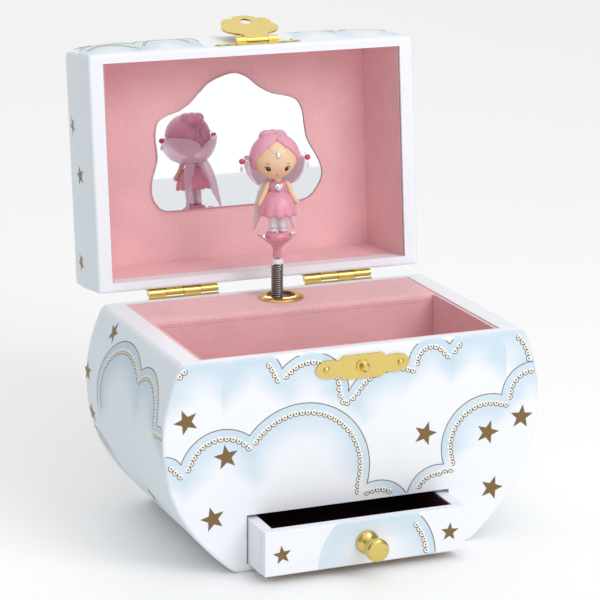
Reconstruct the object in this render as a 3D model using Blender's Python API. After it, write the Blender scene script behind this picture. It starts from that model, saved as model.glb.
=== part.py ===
"""Jewellery box with a lift lid, a drawer, a music movement and a folding dancer.

Every length below is in millimetres and is turned into metres when a mesh is made.
X runs to the right seen from the front, Y to the back, Z up.  The origin is the middle
of the underside.  The box is drawn with its lid open and its drawer part way out.
"""
import math

import bpy
from mathutils import Matrix, Vector
from mathutils.geometry import tessellate_polygon

MM = 0.001

# case
CASE_HALF_DEPTH = 50.0
CASE_HEIGHT = 90.0
PANEL = 4.2
BELLY_Z = 59.0
BELLY_HALF = 83.1
BOARD = 4.5
RIM_INNER = 66.1
BASE_TOP = 3.7
DECK_BOTTOM = 25.0
DECK_TOP = 28.0
LINING_TOP = 29.7
PLATFORM_FRONT = 15.5
PLATFORM_BOTTOM = 86.7
PLATFORM_TOP = 89.7

# drawer, drawn pulled out by DRAWER_OUT
DRAWER_OUT = 18.3
DRAWER_X = -2.7
DRAWER_HALF = 44.25
DRAWER_LOW = 4.0
DRAWER_HIGH = 22.8
DRAWER_LENGTH = 90.0
DRAWER_WALL = 4.6
SLOT_HALF = 44.9
SLOT_HIGH = 24.3
KNOB_Z = 13.4

# lid, described shut and then swung open
LID_X = -1.5
LID_HALF = 75.0
LID_DEPTH = 102.0
LID_BACK = 50.0
LID_LOW = 90.3
LID_INNER = 68.5
LID_SIDE_HIGH = 31.5
LID_DOME = 8.5
LID_PANEL_W = 33.5
LID_OPEN = 95.8
PIN_Y = 51.83
PIN_Z = 92.02

# hinges and hasp
HINGE_CENTRES = (-37.9, 34.5)
HINGE_LONG = 32.0
KNUCKLE_R = 1.55
PIN_R = 0.7
HASP_X = 2.4
HASP_W = 6.5
HASP_OUT = 2.15
HASP_TILT = 24.2
STRIKE_Z = 81.8

# turning axis of the dancer and the pinned cylinder
AXIS_X = -1.6
AXIS_Y = 33.0
FOLD_Z = 97.0
DOLL_TURN = -14.0
KEY_Z = 42.0
GOVERNOR_X = 5.6
GOVERNOR_Y = 25.1
RING_X = 0.6
RING_Y = 34.0

COLOURS = {
    "paper": (0.86, 0.93, 0.98),
    "board": (0.62, 0.50, 0.36),
    "pink": (0.80, 0.36, 0.40),
    "maroon": (0.10, 0.02, 0.05),
    "brass": (0.80, 0.60, 0.25),
    "steel": (0.55, 0.56, 0.58),
    "silver": (0.80, 0.80, 0.82),
    "mirror": (0.90, 0.92, 0.94),
    "skin": (0.90, 0.68, 0.56),
    "dress": (0.93, 0.45, 0.60),
    "hair": (0.90, 0.42, 0.62),
    "wing": (0.74, 0.68, 0.90),
}


def clear_scene():
    for item in list(bpy.data.objects):
        bpy.data.objects.remove(item, do_unlink=True)


def paint(item, colour):
    """Give the object a material of its own."""
    material = bpy.data.materials.new(item.name + "_material")
    material.use_nodes = True
    shader = material.node_tree.nodes["Principled BSDF"]
    shader.inputs["Base Color"].default_value = (*COLOURS[colour], 1.0)
    metal = colour in ("brass", "steel", "silver", "mirror")
    shader.inputs["Metallic"].default_value = 1.0 if metal else 0.0
    shader.inputs["Roughness"].default_value = 0.3 if metal else 0.6
    item.data.materials.clear()
    item.data.materials.append(material)


def make(name, verts, faces, colour, origin=(0.0, 0.0, 0.0), matrix=None):
    """One mesh object from millimetre points, with its origin where it turns."""
    points = [Vector(v) for v in verts]
    if matrix is not None:
        points = [matrix @ p for p in points]
    centre = Vector(origin)
    mesh = bpy.data.meshes.new(name)
    mesh.from_pydata([(p - centre) * MM for p in points], [], faces)
    mesh.validate()
    mesh.update()
    item = bpy.data.objects.new(name, mesh)
    item.location = centre * MM
    bpy.context.scene.collection.objects.link(item)
    paint(item, colour)
    return item


def place(u, v, t, plane):
    """Turn profile coordinates into X, Y, Z: the extrusion runs along the missing axis."""
    if plane == "xy":
        return (u, v, t)
    if plane == "xz":
        return (u, t, v)
    return (t, u, v)


def both_ways(half, x, z):
    """A closed outline about (x, z) from its upper right quarter."""
    right = half + [(px, -pz) for px, pz in reversed(half[:-1])]
    left = [(-px, pz) for px, pz in reversed(right)]
    return [(x + px, z + pz) for px, pz in right + left]


def signed_area(outline):
    total = 0.0
    for i, (x0, y0) in enumerate(outline):
        x1, y1 = outline[(i + 1) % len(outline)]
        total += x0 * y1 - x1 * y0
    return total / 2.0


def prism_data(outline, low, high, plane, holes=()):
    """Points and faces of a straight prism, with holes right through it if asked."""
    loops = [list(outline)] + [list(h) for h in holes]
    for i, loop in enumerate(loops):
        if (signed_area(loop) > 0) != (i == 0):
            loop.reverse()
    flat = [p for loop in loops for p in loop]
    count = len(flat)
    verts = [place(u, v, low, plane) for u, v in flat]
    verts += [place(u, v, high, plane) for u, v in flat]
    flip = plane == "xz"
    faces = []
    triangles = tessellate_polygon([[Vector((u, v, 0.0)) for u, v in loop] for loop in loops])
    for tri in triangles:
        a, b, c = tri
        pa, pb, pc = flat[a], flat[b], flat[c]
        cross = (pb[0] - pa[0]) * (pc[1] - pa[1]) - (pc[0] - pa[0]) * (pb[1] - pa[1])
        if cross < 0:
            b, c = c, b
        faces.append((c, b, a))
        faces.append((a + count, b + count, c + count))
    start = 0
    for loop in loops:
        size = len(loop)
        for i in range(size):
            a = start + i
            b = start + (i + 1) % size
            faces.append((a, b, b + count, a + count))
        start += size
    if flip:
        faces = [tuple(reversed(f)) for f in faces]
    return verts, faces


def prism(name, outline, low, high, plane, colour, holes=(), origin=(0, 0, 0), matrix=None):
    verts, faces = prism_data(outline, low, high, plane, holes)
    return make(name, verts, faces, colour, origin, matrix)


def box(name, low, high, colour, origin=(0, 0, 0), matrix=None):
    outline = [(low[0], low[1]), (high[0], low[1]), (high[0], high[1]), (low[0], high[1])]
    return prism(name, outline, low[2], high[2], "xy", colour, (), origin, matrix)


def circle(cx, cy, radius, count=24):
    step = 2.0 * math.pi / count
    return [(cx + radius * math.cos(i * step), cy + radius * math.sin(i * step)) for i in range(count)]


def gear_outline(cx, cy, root, tip, teeth):
    """A toothed wheel's edge: four points a tooth."""
    points = []
    pitch = 2.0 * math.pi / teeth
    for i in range(teeth):
        base = i * pitch
        for share, radius in ((-0.30, root), (-0.14, tip), (0.14, tip), (0.30, root)):
            angle = base + share * pitch
            points.append((cx + radius * math.cos(angle), cy + radius * math.sin(angle)))
    return points


def stack_data(rings):
    """A closed body through rings of equal size, capped at both ends."""
    count = len(rings[0])
    verts = [p for ring in rings for p in ring]
    faces = []
    for k in range(len(rings) - 1):
        for i in range(count):
            j = (i + 1) % count
            a = k * count
            b = a + count
            faces.append((a + i, a + j, b + j, b + i))
    faces.append(tuple(reversed(range(count))))
    last = (len(rings) - 1) * count
    faces.append(tuple(last + i for i in range(count)))
    return verts, faces


def ring_z(cx, cy, z, rx, ry=None, count=16, lobes=0, depth=0.0):
    """A level ring, with a wavy edge when it has lobes."""
    ry = rx if ry is None else ry
    points = []
    for i in range(count):
        angle = 2.0 * math.pi * i / count
        wave = 1.0 + depth * math.cos(lobes * angle)
        points.append((cx + rx * wave * math.cos(angle), cy + ry * wave * math.sin(angle), z))
    return points


def turned(name, cx, cy, profile, colour, count=24, origin=(0, 0, 0), matrix=None):
    """A body turned about an upright axis from (radius, z) pairs."""
    rings = [ring_z(cx, cy, z, radius, count=count) for radius, z in profile]
    verts, faces = stack_data(rings)
    return make(name, verts, faces, colour, origin, matrix)


def turned_y(name, cx, cz, profile, colour, count=24, origin=(0, 0, 0), matrix=None):
    """A body turned about an axis along Y from (radius, y) pairs, with y rising."""
    rings = []
    for radius, y in profile:
        ring = [(px, y, pz) for px, pz in circle(cx, cz, radius, count)]
        rings.append(list(reversed(ring)))
    verts, faces = stack_data(rings)
    return make(name, verts, faces, colour, origin, matrix)


def rod_x(name, y, z, radius, low, high, colour, count=20, origin=(0, 0, 0), matrix=None, bore=0.0):
    """A rod along X, bored through when asked."""
    holes = [circle(y, z, bore, count)] if bore else []
    return prism(name, circle(y, z, radius, count), low, high, "yz", colour, holes, origin, matrix)


def ball(cx, cy, cz, rx, ry, rz, rows=8, count=16):
    """Rings of an egg shape from its underside to its top."""
    rings = []
    for k in range(rows + 1):
        angle = math.pi * (0.04 + 0.92 * k / rows)
        flat = math.sin(angle)
        rings.append(ring_z(cx, cy, cz - rz * math.cos(angle), rx * flat, ry * flat, count))
    return rings


def combine(base, other, operation):
    """Join or cut with an exact boolean, keep the result and drop the tool."""
    other.hide_render = True
    other.display_type = "WIRE"
    step = base.modifiers.new(operation.lower(), "BOOLEAN")
    step.operation = operation
    step.solver = "EXACT"
    step.object = other
    view = bpy.context.evaluated_depsgraph_get()
    view.update()
    result = bpy.data.meshes.new_from_object(base.evaluated_get(view))
    base.modifiers.clear()
    old = base.data
    name = old.name
    base.data = result
    bpy.data.meshes.remove(old)
    result.name = name
    bpy.data.objects.remove(other, do_unlink=True)
    material = base.data.materials[0]
    base.data.materials.clear()
    base.data.materials.append(material)
    for face in base.data.polygons:
        face.material_index = 0
    return base


def settle(item, matrix, origin):
    """Move a finished body's points by the matrix and put its origin where it turns."""
    centre = Vector(origin)
    for vert in item.data.vertices:
        point = vert.co / MM + item.location / MM
        vert.co = (matrix @ point - centre) * MM
    item.location = centre * MM
    return item


def half_width(z):
    """Half the case's width at height z: full at the belly, drawn in at the foot."""
    if z > BELLY_Z:
        return BELLY_HALF - 8.0 * ((z - BELLY_Z) / 31.0) ** 2
    return BELLY_HALF - 30.6 * ((BELLY_Z - z) / 59.0) ** 2.35


def side_levels():
    return [0.0, 3.7, 9.0, 15.0, 21.0, 27.0, 34.0, 41.0, 48.0, 54.0, 59.0, 66.0, 72.0, 78.0, 84.0, 90.0]


# ------------------------------------------------------------------ case

def case_boards():
    levels = side_levels()
    right = [(half_width(z), z) for z in levels]
    outline = right + [(-x, z) for x, z in reversed(right)]
    slot_low = DRAWER_X - SLOT_HALF
    slot_high = DRAWER_X + SLOT_HALF
    slot = [(slot_low, BASE_TOP), (slot_high, BASE_TOP), (slot_high, SLOT_HIGH), (slot_low, SLOT_HIGH)]
    front = -CASE_HALF_DEPTH
    back = CASE_HALF_DEPTH
    prism("front_panel", outline, front, front + PANEL, "xz", "paper", [slot])
    key_hole = circle(AXIS_X, KEY_Z, 2.2, 16)
    prism("back_panel", outline, back - PANEL, back, "xz", "paper", [key_hole])
    outer = [(half_width(z), z) for z in levels]
    inner = [(RIM_INNER, 90.0), (RIM_INNER, 78.0)]
    inner += [(half_width(z) - BOARD, z) for z in reversed(levels) if z < 70.0]
    depth = back - PANEL - 0.1
    prism("side_board_right", outer + inner, -depth, depth, "xz", "paper")
    mirrored = [(-x, z) for x, z in outer + inner]
    prism("side_board_left", mirrored, -depth, depth, "xz", "paper")
    foot = half_width(0.0) - BOARD - 0.2
    step = half_width(BASE_TOP) - BOARD - 0.3
    base = [(-foot, 0.0), (foot, 0.0), (step, BASE_TOP), (-step, BASE_TOP)]
    prism("base_board", base, -depth, depth, "xz", "board")
    box("drawer_deck", (-70.0, -depth, DECK_BOTTOM), (70.0, depth, DECK_TOP), "board")


def tray():
    wide = RIM_INNER - 0.3
    thin = wide - 1.5
    low = -CASE_HALF_DEPTH + PANEL + 0.2
    box("tray_floor_lining", (-wide, low, DECK_TOP + 0.1), (wide, PLATFORM_FRONT - 0.2, LINING_TOP), "pink")
    walls = [(-wide, low), (wide, low), (wide, PLATFORM_FRONT - 0.3), (thin, PLATFORM_FRONT - 0.3),
             (thin, low + 1.5), (-thin, low + 1.5), (-thin, PLATFORM_FRONT - 0.3),
             (-wide, PLATFORM_FRONT - 0.3)]
    prism("tray_wall_lining", walls, LINING_TOP + 0.1, PLATFORM_TOP - 0.1, "xy", "pink")
    box("partition", (-wide, PLATFORM_FRONT, DECK_TOP + 0.1),
        (wide, PLATFORM_FRONT + 2.0, PLATFORM_BOTTOM - 0.1), "pink")
    y0 = PLATFORM_FRONT
    y1 = CASE_HALF_DEPTH - PANEL - 0.3
    edge = [(y0, PLATFORM_BOTTOM), (y1, PLATFORM_BOTTOM), (y1, PLATFORM_TOP), (y0 + 1.5, PLATFORM_TOP),
            (y0 + 0.45, PLATFORM_TOP - 0.45), (y0, PLATFORM_TOP - 1.5)]
    platform = prism("platform", edge, -wide, wide, "yz", "pink")
    hole = prism("hole", circle(RING_X, RING_Y, 6.6, 28), PLATFORM_BOTTOM - 3, PLATFORM_TOP + 3, "xy",
                 "pink")
    combine(platform, hole, "DIFFERENCE")
    low_z = PLATFORM_TOP + 0.05
    ring = turned("ring", RING_X, RING_Y, [(9.9, low_z), (9.9, low_z + 0.5), (9.0, low_z + 1.1),
                                           (6.8, low_z + 1.5)], "brass", 32)
    bore = prism("bore", circle(RING_X, RING_Y, 6.0, 32), low_z - 3, low_z + 4, "xy", "brass")
    combine(ring, bore, "DIFFERENCE")


def strike():
    """Plate, post and two nails on the front panel, where the hasp lands."""
    front = -CASE_HALF_DEPTH - 0.1
    half = [(8.4, 5.0), (9.3, 4.4), (9.8, 3.6), (10.8, 3.2), (12.4, 3.7), (16.0, 3.7), (18.4, 3.1),
            (19.9, 1.8),
            (20.7, 0.0)]
    prism("strike_plate", both_ways(half, HASP_X, STRIKE_Z), front - 0.7, front, "xz", "brass")
    y = front - 0.75
    profile = [(1.2, y - 3.3), (1.8, y - 2.8), (2.0, y - 2.1), (2.0, y - 0.6), (3.0, y - 0.45), (3.0, y)]
    turned_y("strike_post", HASP_X, STRIKE_Z, profile, "brass", 20)
    for side, offset in (("left", -16.0), ("right", 16.6)):
        profile = [(0.5, y - 0.75), (1.1, y - 0.5), (1.4, y)]
        turned_y("strike_nail_" + side, HASP_X + offset, STRIKE_Z, profile, "brass", 14)


def knuckle_spans(centre):
    """Four spans along X, taken in turn by the case leaf and the lid leaf."""
    width = HINGE_LONG / 4.0
    start = centre - HINGE_LONG / 2.0
    return [(start + i * width + 0.12, start + (i + 1) * width - 0.12) for i in range(4)]


def lid_matrix():
    """Swings a point of the shut lid to where it stands open."""
    pin = Vector((0.0, PIN_Y, PIN_Z))
    turn = Matrix.Rotation(math.radians(-LID_OPEN), 4, "X")
    return Matrix.Translation(pin) @ turn @ Matrix.Translation(-pin)


def hinges():
    pin = (0.0, PIN_Y, PIN_Z)
    near = CASE_HALF_DEPTH + 0.15
    far = near + 0.7
    for side, centre in zip(("left", "right"), HINGE_CENTRES):
        spans = knuckle_spans(centre)
        low = centre - HINGE_LONG / 2.0
        high = centre + HINGE_LONG / 2.0
        leaf = box("hinge_case_leaf_" + side, (low, near, 78.0), (high, far, PIN_Z - 1.8), "brass")
        for k in (0, 2):
            tab = box("tab", (spans[k][0] + 0.02, near, PIN_Z - 2.2), (spans[k][1] - 0.02, far, PIN_Z),
                      "brass")
            combine(leaf, tab, "UNION")
            combine(leaf, rod_x("knuckle", PIN_Y, PIN_Z, KNUCKLE_R, *spans[k], "brass"), "UNION")
        combine(leaf, rod_x("pin", PIN_Y, PIN_Z, PIN_R, low + 0.2, high - 0.2, "brass", 12), "UNION")
        leaf = box("hinge_lid_leaf_" + side, (low, near, PIN_Z + 1.8), (high, far, 104.5), "brass")
        for k in (1, 3):
            tab = box("tab", (spans[k][0] + 0.02, near, PIN_Z), (spans[k][1] - 0.02, far, PIN_Z + 2.2),
                      "brass")
            combine(leaf, tab, "UNION")
            combine(leaf, rod_x("knuckle", PIN_Y, PIN_Z, KNUCKLE_R, *spans[k], "brass"), "UNION")
        bore = rod_x("bore", PIN_Y, PIN_Z, PIN_R + 0.16, low - 1.0, high + 1.0, "brass", 12)
        combine(leaf, bore, "DIFFERENCE")
        settle(leaf, lid_matrix(), pin)


# ------------------------------------------------------------------ lid

def dome(u):
    """Height of the lid's outside above its lower edge, u from its middle."""
    share = min(abs(u) / LID_HALF, 1.0) ** 4
    return LID_SIDE_HIGH + LID_DOME * math.sqrt(max(1.0 - share, 0.0))


def lid_part(name, outline, low, high, plane, colour, holes=()):
    """A prism drawn on the shut lid and swung open about the pin."""
    origin = (0.0, PIN_Y, PIN_Z)
    return prism(name, outline, low, high, plane, colour, holes, origin, lid_matrix())


def dome_points(low, high, steps):
    points = []
    for i in range(steps + 1):
        u = low + (high - low) * i / steps
        points.append((LID_X + u, LID_LOW + dome(u)))
    return points


def lid_side_profile():
    """Outside of one lid wall from its lower edge to where the top board begins."""
    low = [(75.0, 0.0), (75.6, 9.0), (75.9, 18.0), (75.7, 26.0), (75.0, 31.5), (74.4, 34.0), (73.0, 35.2)]
    return low + [(71.0, dome(71.0)), (LID_INNER, dome(LID_INNER))]


def lid_boards():
    side = lid_side_profile()
    y_back = LID_BACK - 4.3
    y_front = LID_BACK - LID_DEPTH + 4.3
    wall = [(u, w) for u, w in side] + [(LID_INNER, 0.0)]
    lid_part("lid_right", [(LID_X + u, LID_LOW + w) for u, w in wall], y_front, y_back, "xz", "paper")
    lid_part("lid_left", [(LID_X - u, LID_LOW + w) for u, w in wall], y_front, y_back, "xz", "paper")
    edge = LID_INNER - 0.1
    top = dome_points(edge, -edge, 14)
    bottom = [(LID_X - edge, LID_LOW + 35.2), (LID_X + edge, LID_LOW + 35.2)]
    lid_part("lid_top", bottom + top, y_front, y_back, "xz", "paper")
    outline = [(LID_X + u, LID_LOW + w) for u, w in side[:-1]]
    outline += dome_points(LID_INNER, -LID_INNER, 14)
    outline += [(LID_X - u, LID_LOW + w) for u, w in reversed(side[:-1])]
    lid_part("lid_back", outline, LID_BACK - 4.2, LID_BACK, "xz", "paper")
    lid_front(side)


def front_bulge(w):
    """How far the padded lid front stands out at height w."""
    marks = [(0.0, 0.0), (9.0, 0.0), (13.0, 0.8), (18.0, 2.2), (23.0, 2.9), (28.0, 2.8), (32.0, 2.0),
             (36.0, 0.4), (40.0, -1.6)]
    for (w0, b0), (w1, b1) in zip(marks, marks[1:]):
        if w <= w1:
            return b0 + (b1 - b0) * (w - w0) / (w1 - w0)
    return marks[-1][1]


def lid_front(side):
    """The front board of the lid: flat inside, padded outside."""
    heights = [0.0, 9.0, 13.0, 18.0, 23.0, 28.0, 32.0, 36.0, 40.0]
    columns = [-75.0, -73.0, -70.0, -63.0, -50.0, -30.0, -10.0, 10.0, 30.0, 50.0, 63.0, 70.0, 73.0, 75.0]
    y_flat = LID_BACK - LID_DEPTH + 4.2
    y_out = LID_BACK - LID_DEPTH
    grid = []
    for u in columns:
        swell = math.sqrt(max(1.0 - (abs(u) / 75.5) ** 6, 0.0))
        reach = dome(u)
        for w in heights:
            height = w * reach / 40.0
            push = front_bulge(w)
            push = push * swell if push > 0 else push
            grid.append((LID_X + u, y_out - push, LID_LOW + height))
    rows = len(heights)
    count = len(grid)
    verts = grid + [(x, y_flat, z) for x, y, z in grid]
    faces = []
    for i in range(len(columns) - 1):
        for j in range(rows - 1):
            a = i * rows + j
            faces.append((a, a + rows, a + rows + 1, a + 1))
            faces.append((a + count + 1, a + count + rows + 1, a + count + rows, a + count))
    border = [i * rows for i in range(len(columns))]
    border += [(len(columns) - 1) * rows + j for j in range(1, rows)]
    border += [i * rows + rows - 1 for i in range(len(columns) - 2, -1, -1)]
    border += [j for j in range(rows - 2, 0, -1)]
    for k, a in enumerate(border):
        b = border[(k + 1) % len(border)]
        faces.append((a, a + count, b + count, b))
    make("lid_front", verts, faces, "paper", (0.0, PIN_Y, PIN_Z), lid_matrix())


def mirror_outline():
    """A bell of cloud lobes: u across the panel, v up from the hinge side."""
    half = [(0.0, 89.0), (5.5, 87.8), (10.0, 85.4), (13.6, 82.0), (18.0, 80.2), (23.0, 78.6), (28.0, 76.4),
            (31.6, 73.4), (34.2, 69.4), (35.3, 64.0), (35.0, 58.0), (35.6, 52.6), (38.0, 48.6),
            (40.2, 43.4),
            (40.2, 37.6), (37.6, 32.6), (33.6, 30.2), (28.0, 29.6)]
    return half + [(-u, v) for u, v in reversed(half[1:])]


def lid_inside():
    wide = LID_INNER - 0.2
    v_low = 4.4
    v_high = LID_DEPTH - 4.4
    y_low = LID_BACK - v_high
    y_high = LID_BACK - v_low
    slab = [(LID_X - wide, y_low), (LID_X + wide, y_low), (LID_X + wide, y_high), (LID_X - wide, y_high)]
    lid_part("lid_panel", slab, LID_LOW + LID_PANEL_W, LID_LOW + LID_PANEL_W + 1.5, "xy", "pink")
    lid_wall_lining(wide, y_low, y_high)
    outline = [(LID_X + u, LID_BACK - v) for u, v in mirror_outline()]
    low = LID_LOW + LID_PANEL_W - 1.3
    lid_part("mirror", outline, low, low + 1.2, "xy", "mirror")


def lid_wall_lining(wide, y_low, y_high):
    """A frame of lining whose walls lean in toward the panel."""
    low = LID_LOW + 0.2
    high = LID_LOW + LID_PANEL_W - 0.1
    outer = [(-wide, y_low), (wide, y_low), (wide, y_high), (-wide, y_high)]
    verts = []
    for z, thick in ((low, 1.3), (high, 3.2)):
        inner = [(-wide + thick, y_low + thick), (wide - thick, y_low + thick),
                 (wide - thick, y_high - thick), (-wide + thick, y_high - thick)]
        verts += [(LID_X + x, y, z) for x, y in outer]
        verts += [(LID_X + x, y, z) for x, y in inner]
    faces = []
    for i in range(4):
        j = (i + 1) % 4
        faces.append((i, j, 8 + j, 8 + i))
        faces.append((4 + j, 4 + i, 12 + i, 12 + j))
        faces.append((j, i, 4 + i, 4 + j))
        faces.append((8 + i, 8 + j, 12 + j, 12 + i))
    make("lid_wall_lining", verts, faces, "pink", (0.0, PIN_Y, PIN_Z), lid_matrix())


# ------------------------------------------------------------------ hasp

def hasp():
    front = LID_BACK - LID_DEPTH
    axis_y = front - HASP_OUT
    axis_z = LID_LOW + HASP_W
    origin = lid_matrix() @ Vector((0.0, axis_y, axis_z))
    half = [(9.9, 2.6), (11.0, 1.6), (13.0, 1.1), (15.5, 1.5), (18.0, 1.2), (19.6, 0.0)]
    leaf = prism("hasp_leaf", both_ways(half, HASP_X, axis_z - 0.6), front - 0.7, front - 0.1, "xz",
                 "brass")
    lug = [(front - 0.4, axis_z - 0.9), (front - 0.4, axis_z + 0.9)]
    for step in range(15):
        angle = math.radians(44.0 + step * 272.0 / 14.0)
        lug.append((axis_y + 1.3 * math.cos(angle), axis_z + 1.3 * math.sin(angle)))
    for low, high in ((-9.8, -5.1), (5.1, 9.8)):
        combine(leaf, prism("lug", lug, HASP_X + low, HASP_X + high, "yz", "brass"), "UNION")
    combine(leaf, rod_x("pin", axis_y, axis_z, 0.6, HASP_X - 9.0, HASP_X + 9.0, "brass", 12), "UNION")
    settle(leaf, lid_matrix(), (0.0, PIN_Y, PIN_Z))
    hasp_flap(axis_y, axis_z, origin)


def hasp_flap(axis_y, axis_z, origin):
    """A shell-shaped flap, drawn hanging and then tipped back."""
    half = [(4.9, 0.2), (5.3, 2.2), (6.6, 3.6), (9.0, 4.4), (11.6, 6.0), (13.0, 8.4), (12.9, 11.0),
            (11.3, 12.9),
            (11.5, 15.0), (10.2, 17.2), (7.8, 18.0), (6.0, 17.5), (4.7, 19.3), (2.4, 20.4), (0.0, 20.6)]
    outline = [(HASP_X + x, axis_z - d) for x, d in half]
    outline += [(HASP_X - x, axis_z - d) for x, d in reversed(half[:-1])]
    hole = circle(HASP_X, axis_z - 15.0, 2.5, 20)
    pin = Vector((0.0, axis_y, axis_z))
    tip = Matrix.Rotation(math.radians(-(180.0 - HASP_TILT)), 4, "X")
    tipped = lid_matrix() @ Matrix.Translation(pin) @ tip @ Matrix.Translation(-pin)
    flap = prism("hasp_flap", outline, axis_y + 0.2, axis_y + 1.0, "xz", "brass", [hole])
    combine(flap, rod_x("tube", axis_y, axis_z, 1.3, HASP_X - 4.95, HASP_X + 4.95, "brass", 16), "UNION")
    bore = rod_x("bore", axis_y, axis_z, 0.75, HASP_X - 8.0, HASP_X + 8.0, "brass", 12)
    combine(flap, bore, "DIFFERENCE")
    settle(flap, tipped, origin)


# ------------------------------------------------------------------ drawer

def drawer():
    front = -CASE_HALF_DEPTH - DRAWER_OUT
    back = front + DRAWER_LENGTH
    left = DRAWER_X - DRAWER_HALF
    right = DRAWER_X + DRAWER_HALF
    low = DRAWER_LOW
    high = DRAWER_HIGH
    wall = DRAWER_WALL
    outline = [(left, low), (right, low), (right, high), (left, high)]
    stem = circle(DRAWER_X, KNOB_Z, 1.5, 14)
    prism("drawer_front", outline, front, front + wall, "xz", "paper", [stem])
    box("drawer_back", (left, back - wall, low), (right, back, high), "paper")
    y0 = front + wall + 0.1
    y1 = back - wall - 0.1
    box("drawer_left", (left, y0, low), (left + wall, y1, high), "paper")
    box("drawer_right", (right - wall, y0, low), (right, y1, high), "paper")
    box("drawer_floor", (left + wall + 0.1, y0, low), (right - wall - 0.1, y1, low + 2.0), "board")
    drawer_lining(left + wall + 0.15, right - wall - 0.15, y0 + 0.05, y1 - 0.05, low + 2.1, high - 0.4)
    profile = [(4.0, front - 12.0), (4.7, front - 11.2), (4.8, front - 9.4), (4.3, front - 8.4),
               (2.4, front - 7.0),
               (2.2, front - 3.4), (3.4, front - 2.2), (4.9, front - 1.2), (4.9, front - 0.1),
               (1.4, front - 0.1),
               (1.4, front + 4.0)]
    turned_y("drawer_knob", DRAWER_X, KNOB_Z, profile, "brass", 24)


def drawer_lining(x0, x1, y0, y1, z0, z1):
    """A thin tray of lining that follows the drawer's inside."""
    thick = 0.7
    lining = box("drawer_lining", (x0, y0, z0), (x1, y1, z1), "maroon")
    room = box("room", (x0 + thick, y0 + thick, z0 + thick), (x1 - thick, y1 - thick, z1 + 5.0), "maroon")
    combine(lining, room, "DIFFERENCE")


# ------------------------------------------------------------------ movement

def movement_frame():
    """Back plate with two shelves and the block that carries the comb."""
    hole = circle(AXIS_X, KEY_Z, 1.9, 16)
    plate = [(-27.0, 36.0), (24.0, 36.0), (24.0, 84.0), (-27.0, 84.0)]
    frame = prism("movement_frame", plate, 43.9, 45.5, "xz", "steel", [hole])
    for z in (56.0, 82.0):
        shelf = box("shelf", (-12.0, 21.0, z), (12.0, 44.6, z + 1.5), "steel")
        combine(frame, shelf, "UNION")
        for x, y, radius in ((AXIS_X, AXIS_Y, 1.4), (GOVERNOR_X, GOVERNOR_Y, 0.8)):
            bore = prism("bore", circle(x, y, radius, 16), z - 1.0, z + 2.5, "xy", "steel")
            combine(frame, bore, "DIFFERENCE")
    block = box("block", (14.0, 33.7, 60.0), (23.0, 44.6, 80.0), "steel")
    combine(frame, block, "UNION")
    for number, (x, z) in enumerate(((-24.0, 40.0), (21.0, 40.0), (-24.0, 80.0)), 1):
        profile = [(1.9, 42.6), (2.4, 43.1), (2.4, 43.85)]
        turned_y("frame_screw_" + str(number), x, z, profile, "steel", 12)


def comb():
    """Eighteen steel tongues standing clear of the cylinder's pins."""
    tip = AXIS_X + 6.5 + 0.7
    low = 61.0
    outline = [(23.0, low - 0.6), (23.0, low + 18.6)]
    for i in reversed(range(18)):
        top = low + i + 0.95
        bottom = low + i + 0.15
        outline += [(14.5, top), (tip, top), (tip, bottom), (14.5, bottom)]
    prism("comb", outline, 32.4, 33.5, "xz", "steel")
    for number, z in enumerate((64.0, 76.0), 1):
        turned_y("comb_screw_" + str(number), 18.6, z, [(1.5, 31.3), (2.0, 31.8), (2.0, 32.3)], "steel", 12)


def winding():
    origin = (AXIS_X, 0.0, KEY_Z)
    barrel = turned_y("spring_barrel", AXIS_X, KEY_Z, [(9.6, 29.4), (10.4, 30.4), (10.4, 43.7)], "brass",
                      28)
    bore = turned_y("bore", AXIS_X, KEY_Z, [(1.9, 20.0), (1.9, 50.0)], "brass", 16)
    combine(barrel, bore, "DIFFERENCE")
    wheel = turned_y("great_wheel", AXIS_X, KEY_Z, [(13.0, 26.2), (13.0, 27.7)], "brass", 36, origin)
    teeth = gear_outline(AXIS_X, KEY_Z, 10.9, 13.0, 36)
    crown = prism("crown", teeth, 27.4, 28.9, "xz", "brass", [circle(AXIS_X, KEY_Z, 10.6, 36)])
    combine(wheel, crown, "UNION")
    arbor = turned_y("arbor", AXIS_X, KEY_Z, [(1.5, 27.0), (1.5, 57.0)], "brass", 16)
    combine(wheel, arbor, "UNION")
    hub = [(2.6, 51.2), (3.2, 51.8), (3.2, 57.6), (2.8, 58.4)]
    key = turned_y("winding_key", AXIS_X, KEY_Z, hub, "brass", 20, origin)
    wing = [(-2.0, 0.0), (-3.4, 2.4), (-6.6, 3.6), (-9.6, 5.8), (-10.8, 9.4), (-9.4, 12.6), (-6.0, 13.8),
            (-2.4, 12.2),
            (0.0, 9.6), (2.4, 12.2), (6.0, 13.8), (9.4, 12.6), (10.8, 9.4), (9.6, 5.8), (6.6, 3.6),
            (3.4, 2.4),
            (2.0, 0.0)]
    outline = [(AXIS_X + x, 55.5 + y) for x, y in wing]
    holes = [circle(AXIS_X + side * 6.2, 55.5 + 8.9, 2.3, 16) for side in (-1, 1)]
    combine(key, prism("wing", outline, KEY_Z - 0.6, KEY_Z + 0.6, "xy", "brass", holes), "UNION")
    combine(key, turned_y("bore", AXIS_X, KEY_Z, [(1.6, 50.0), (1.6, 57.1)], "brass", 16), "DIFFERENCE")


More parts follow.
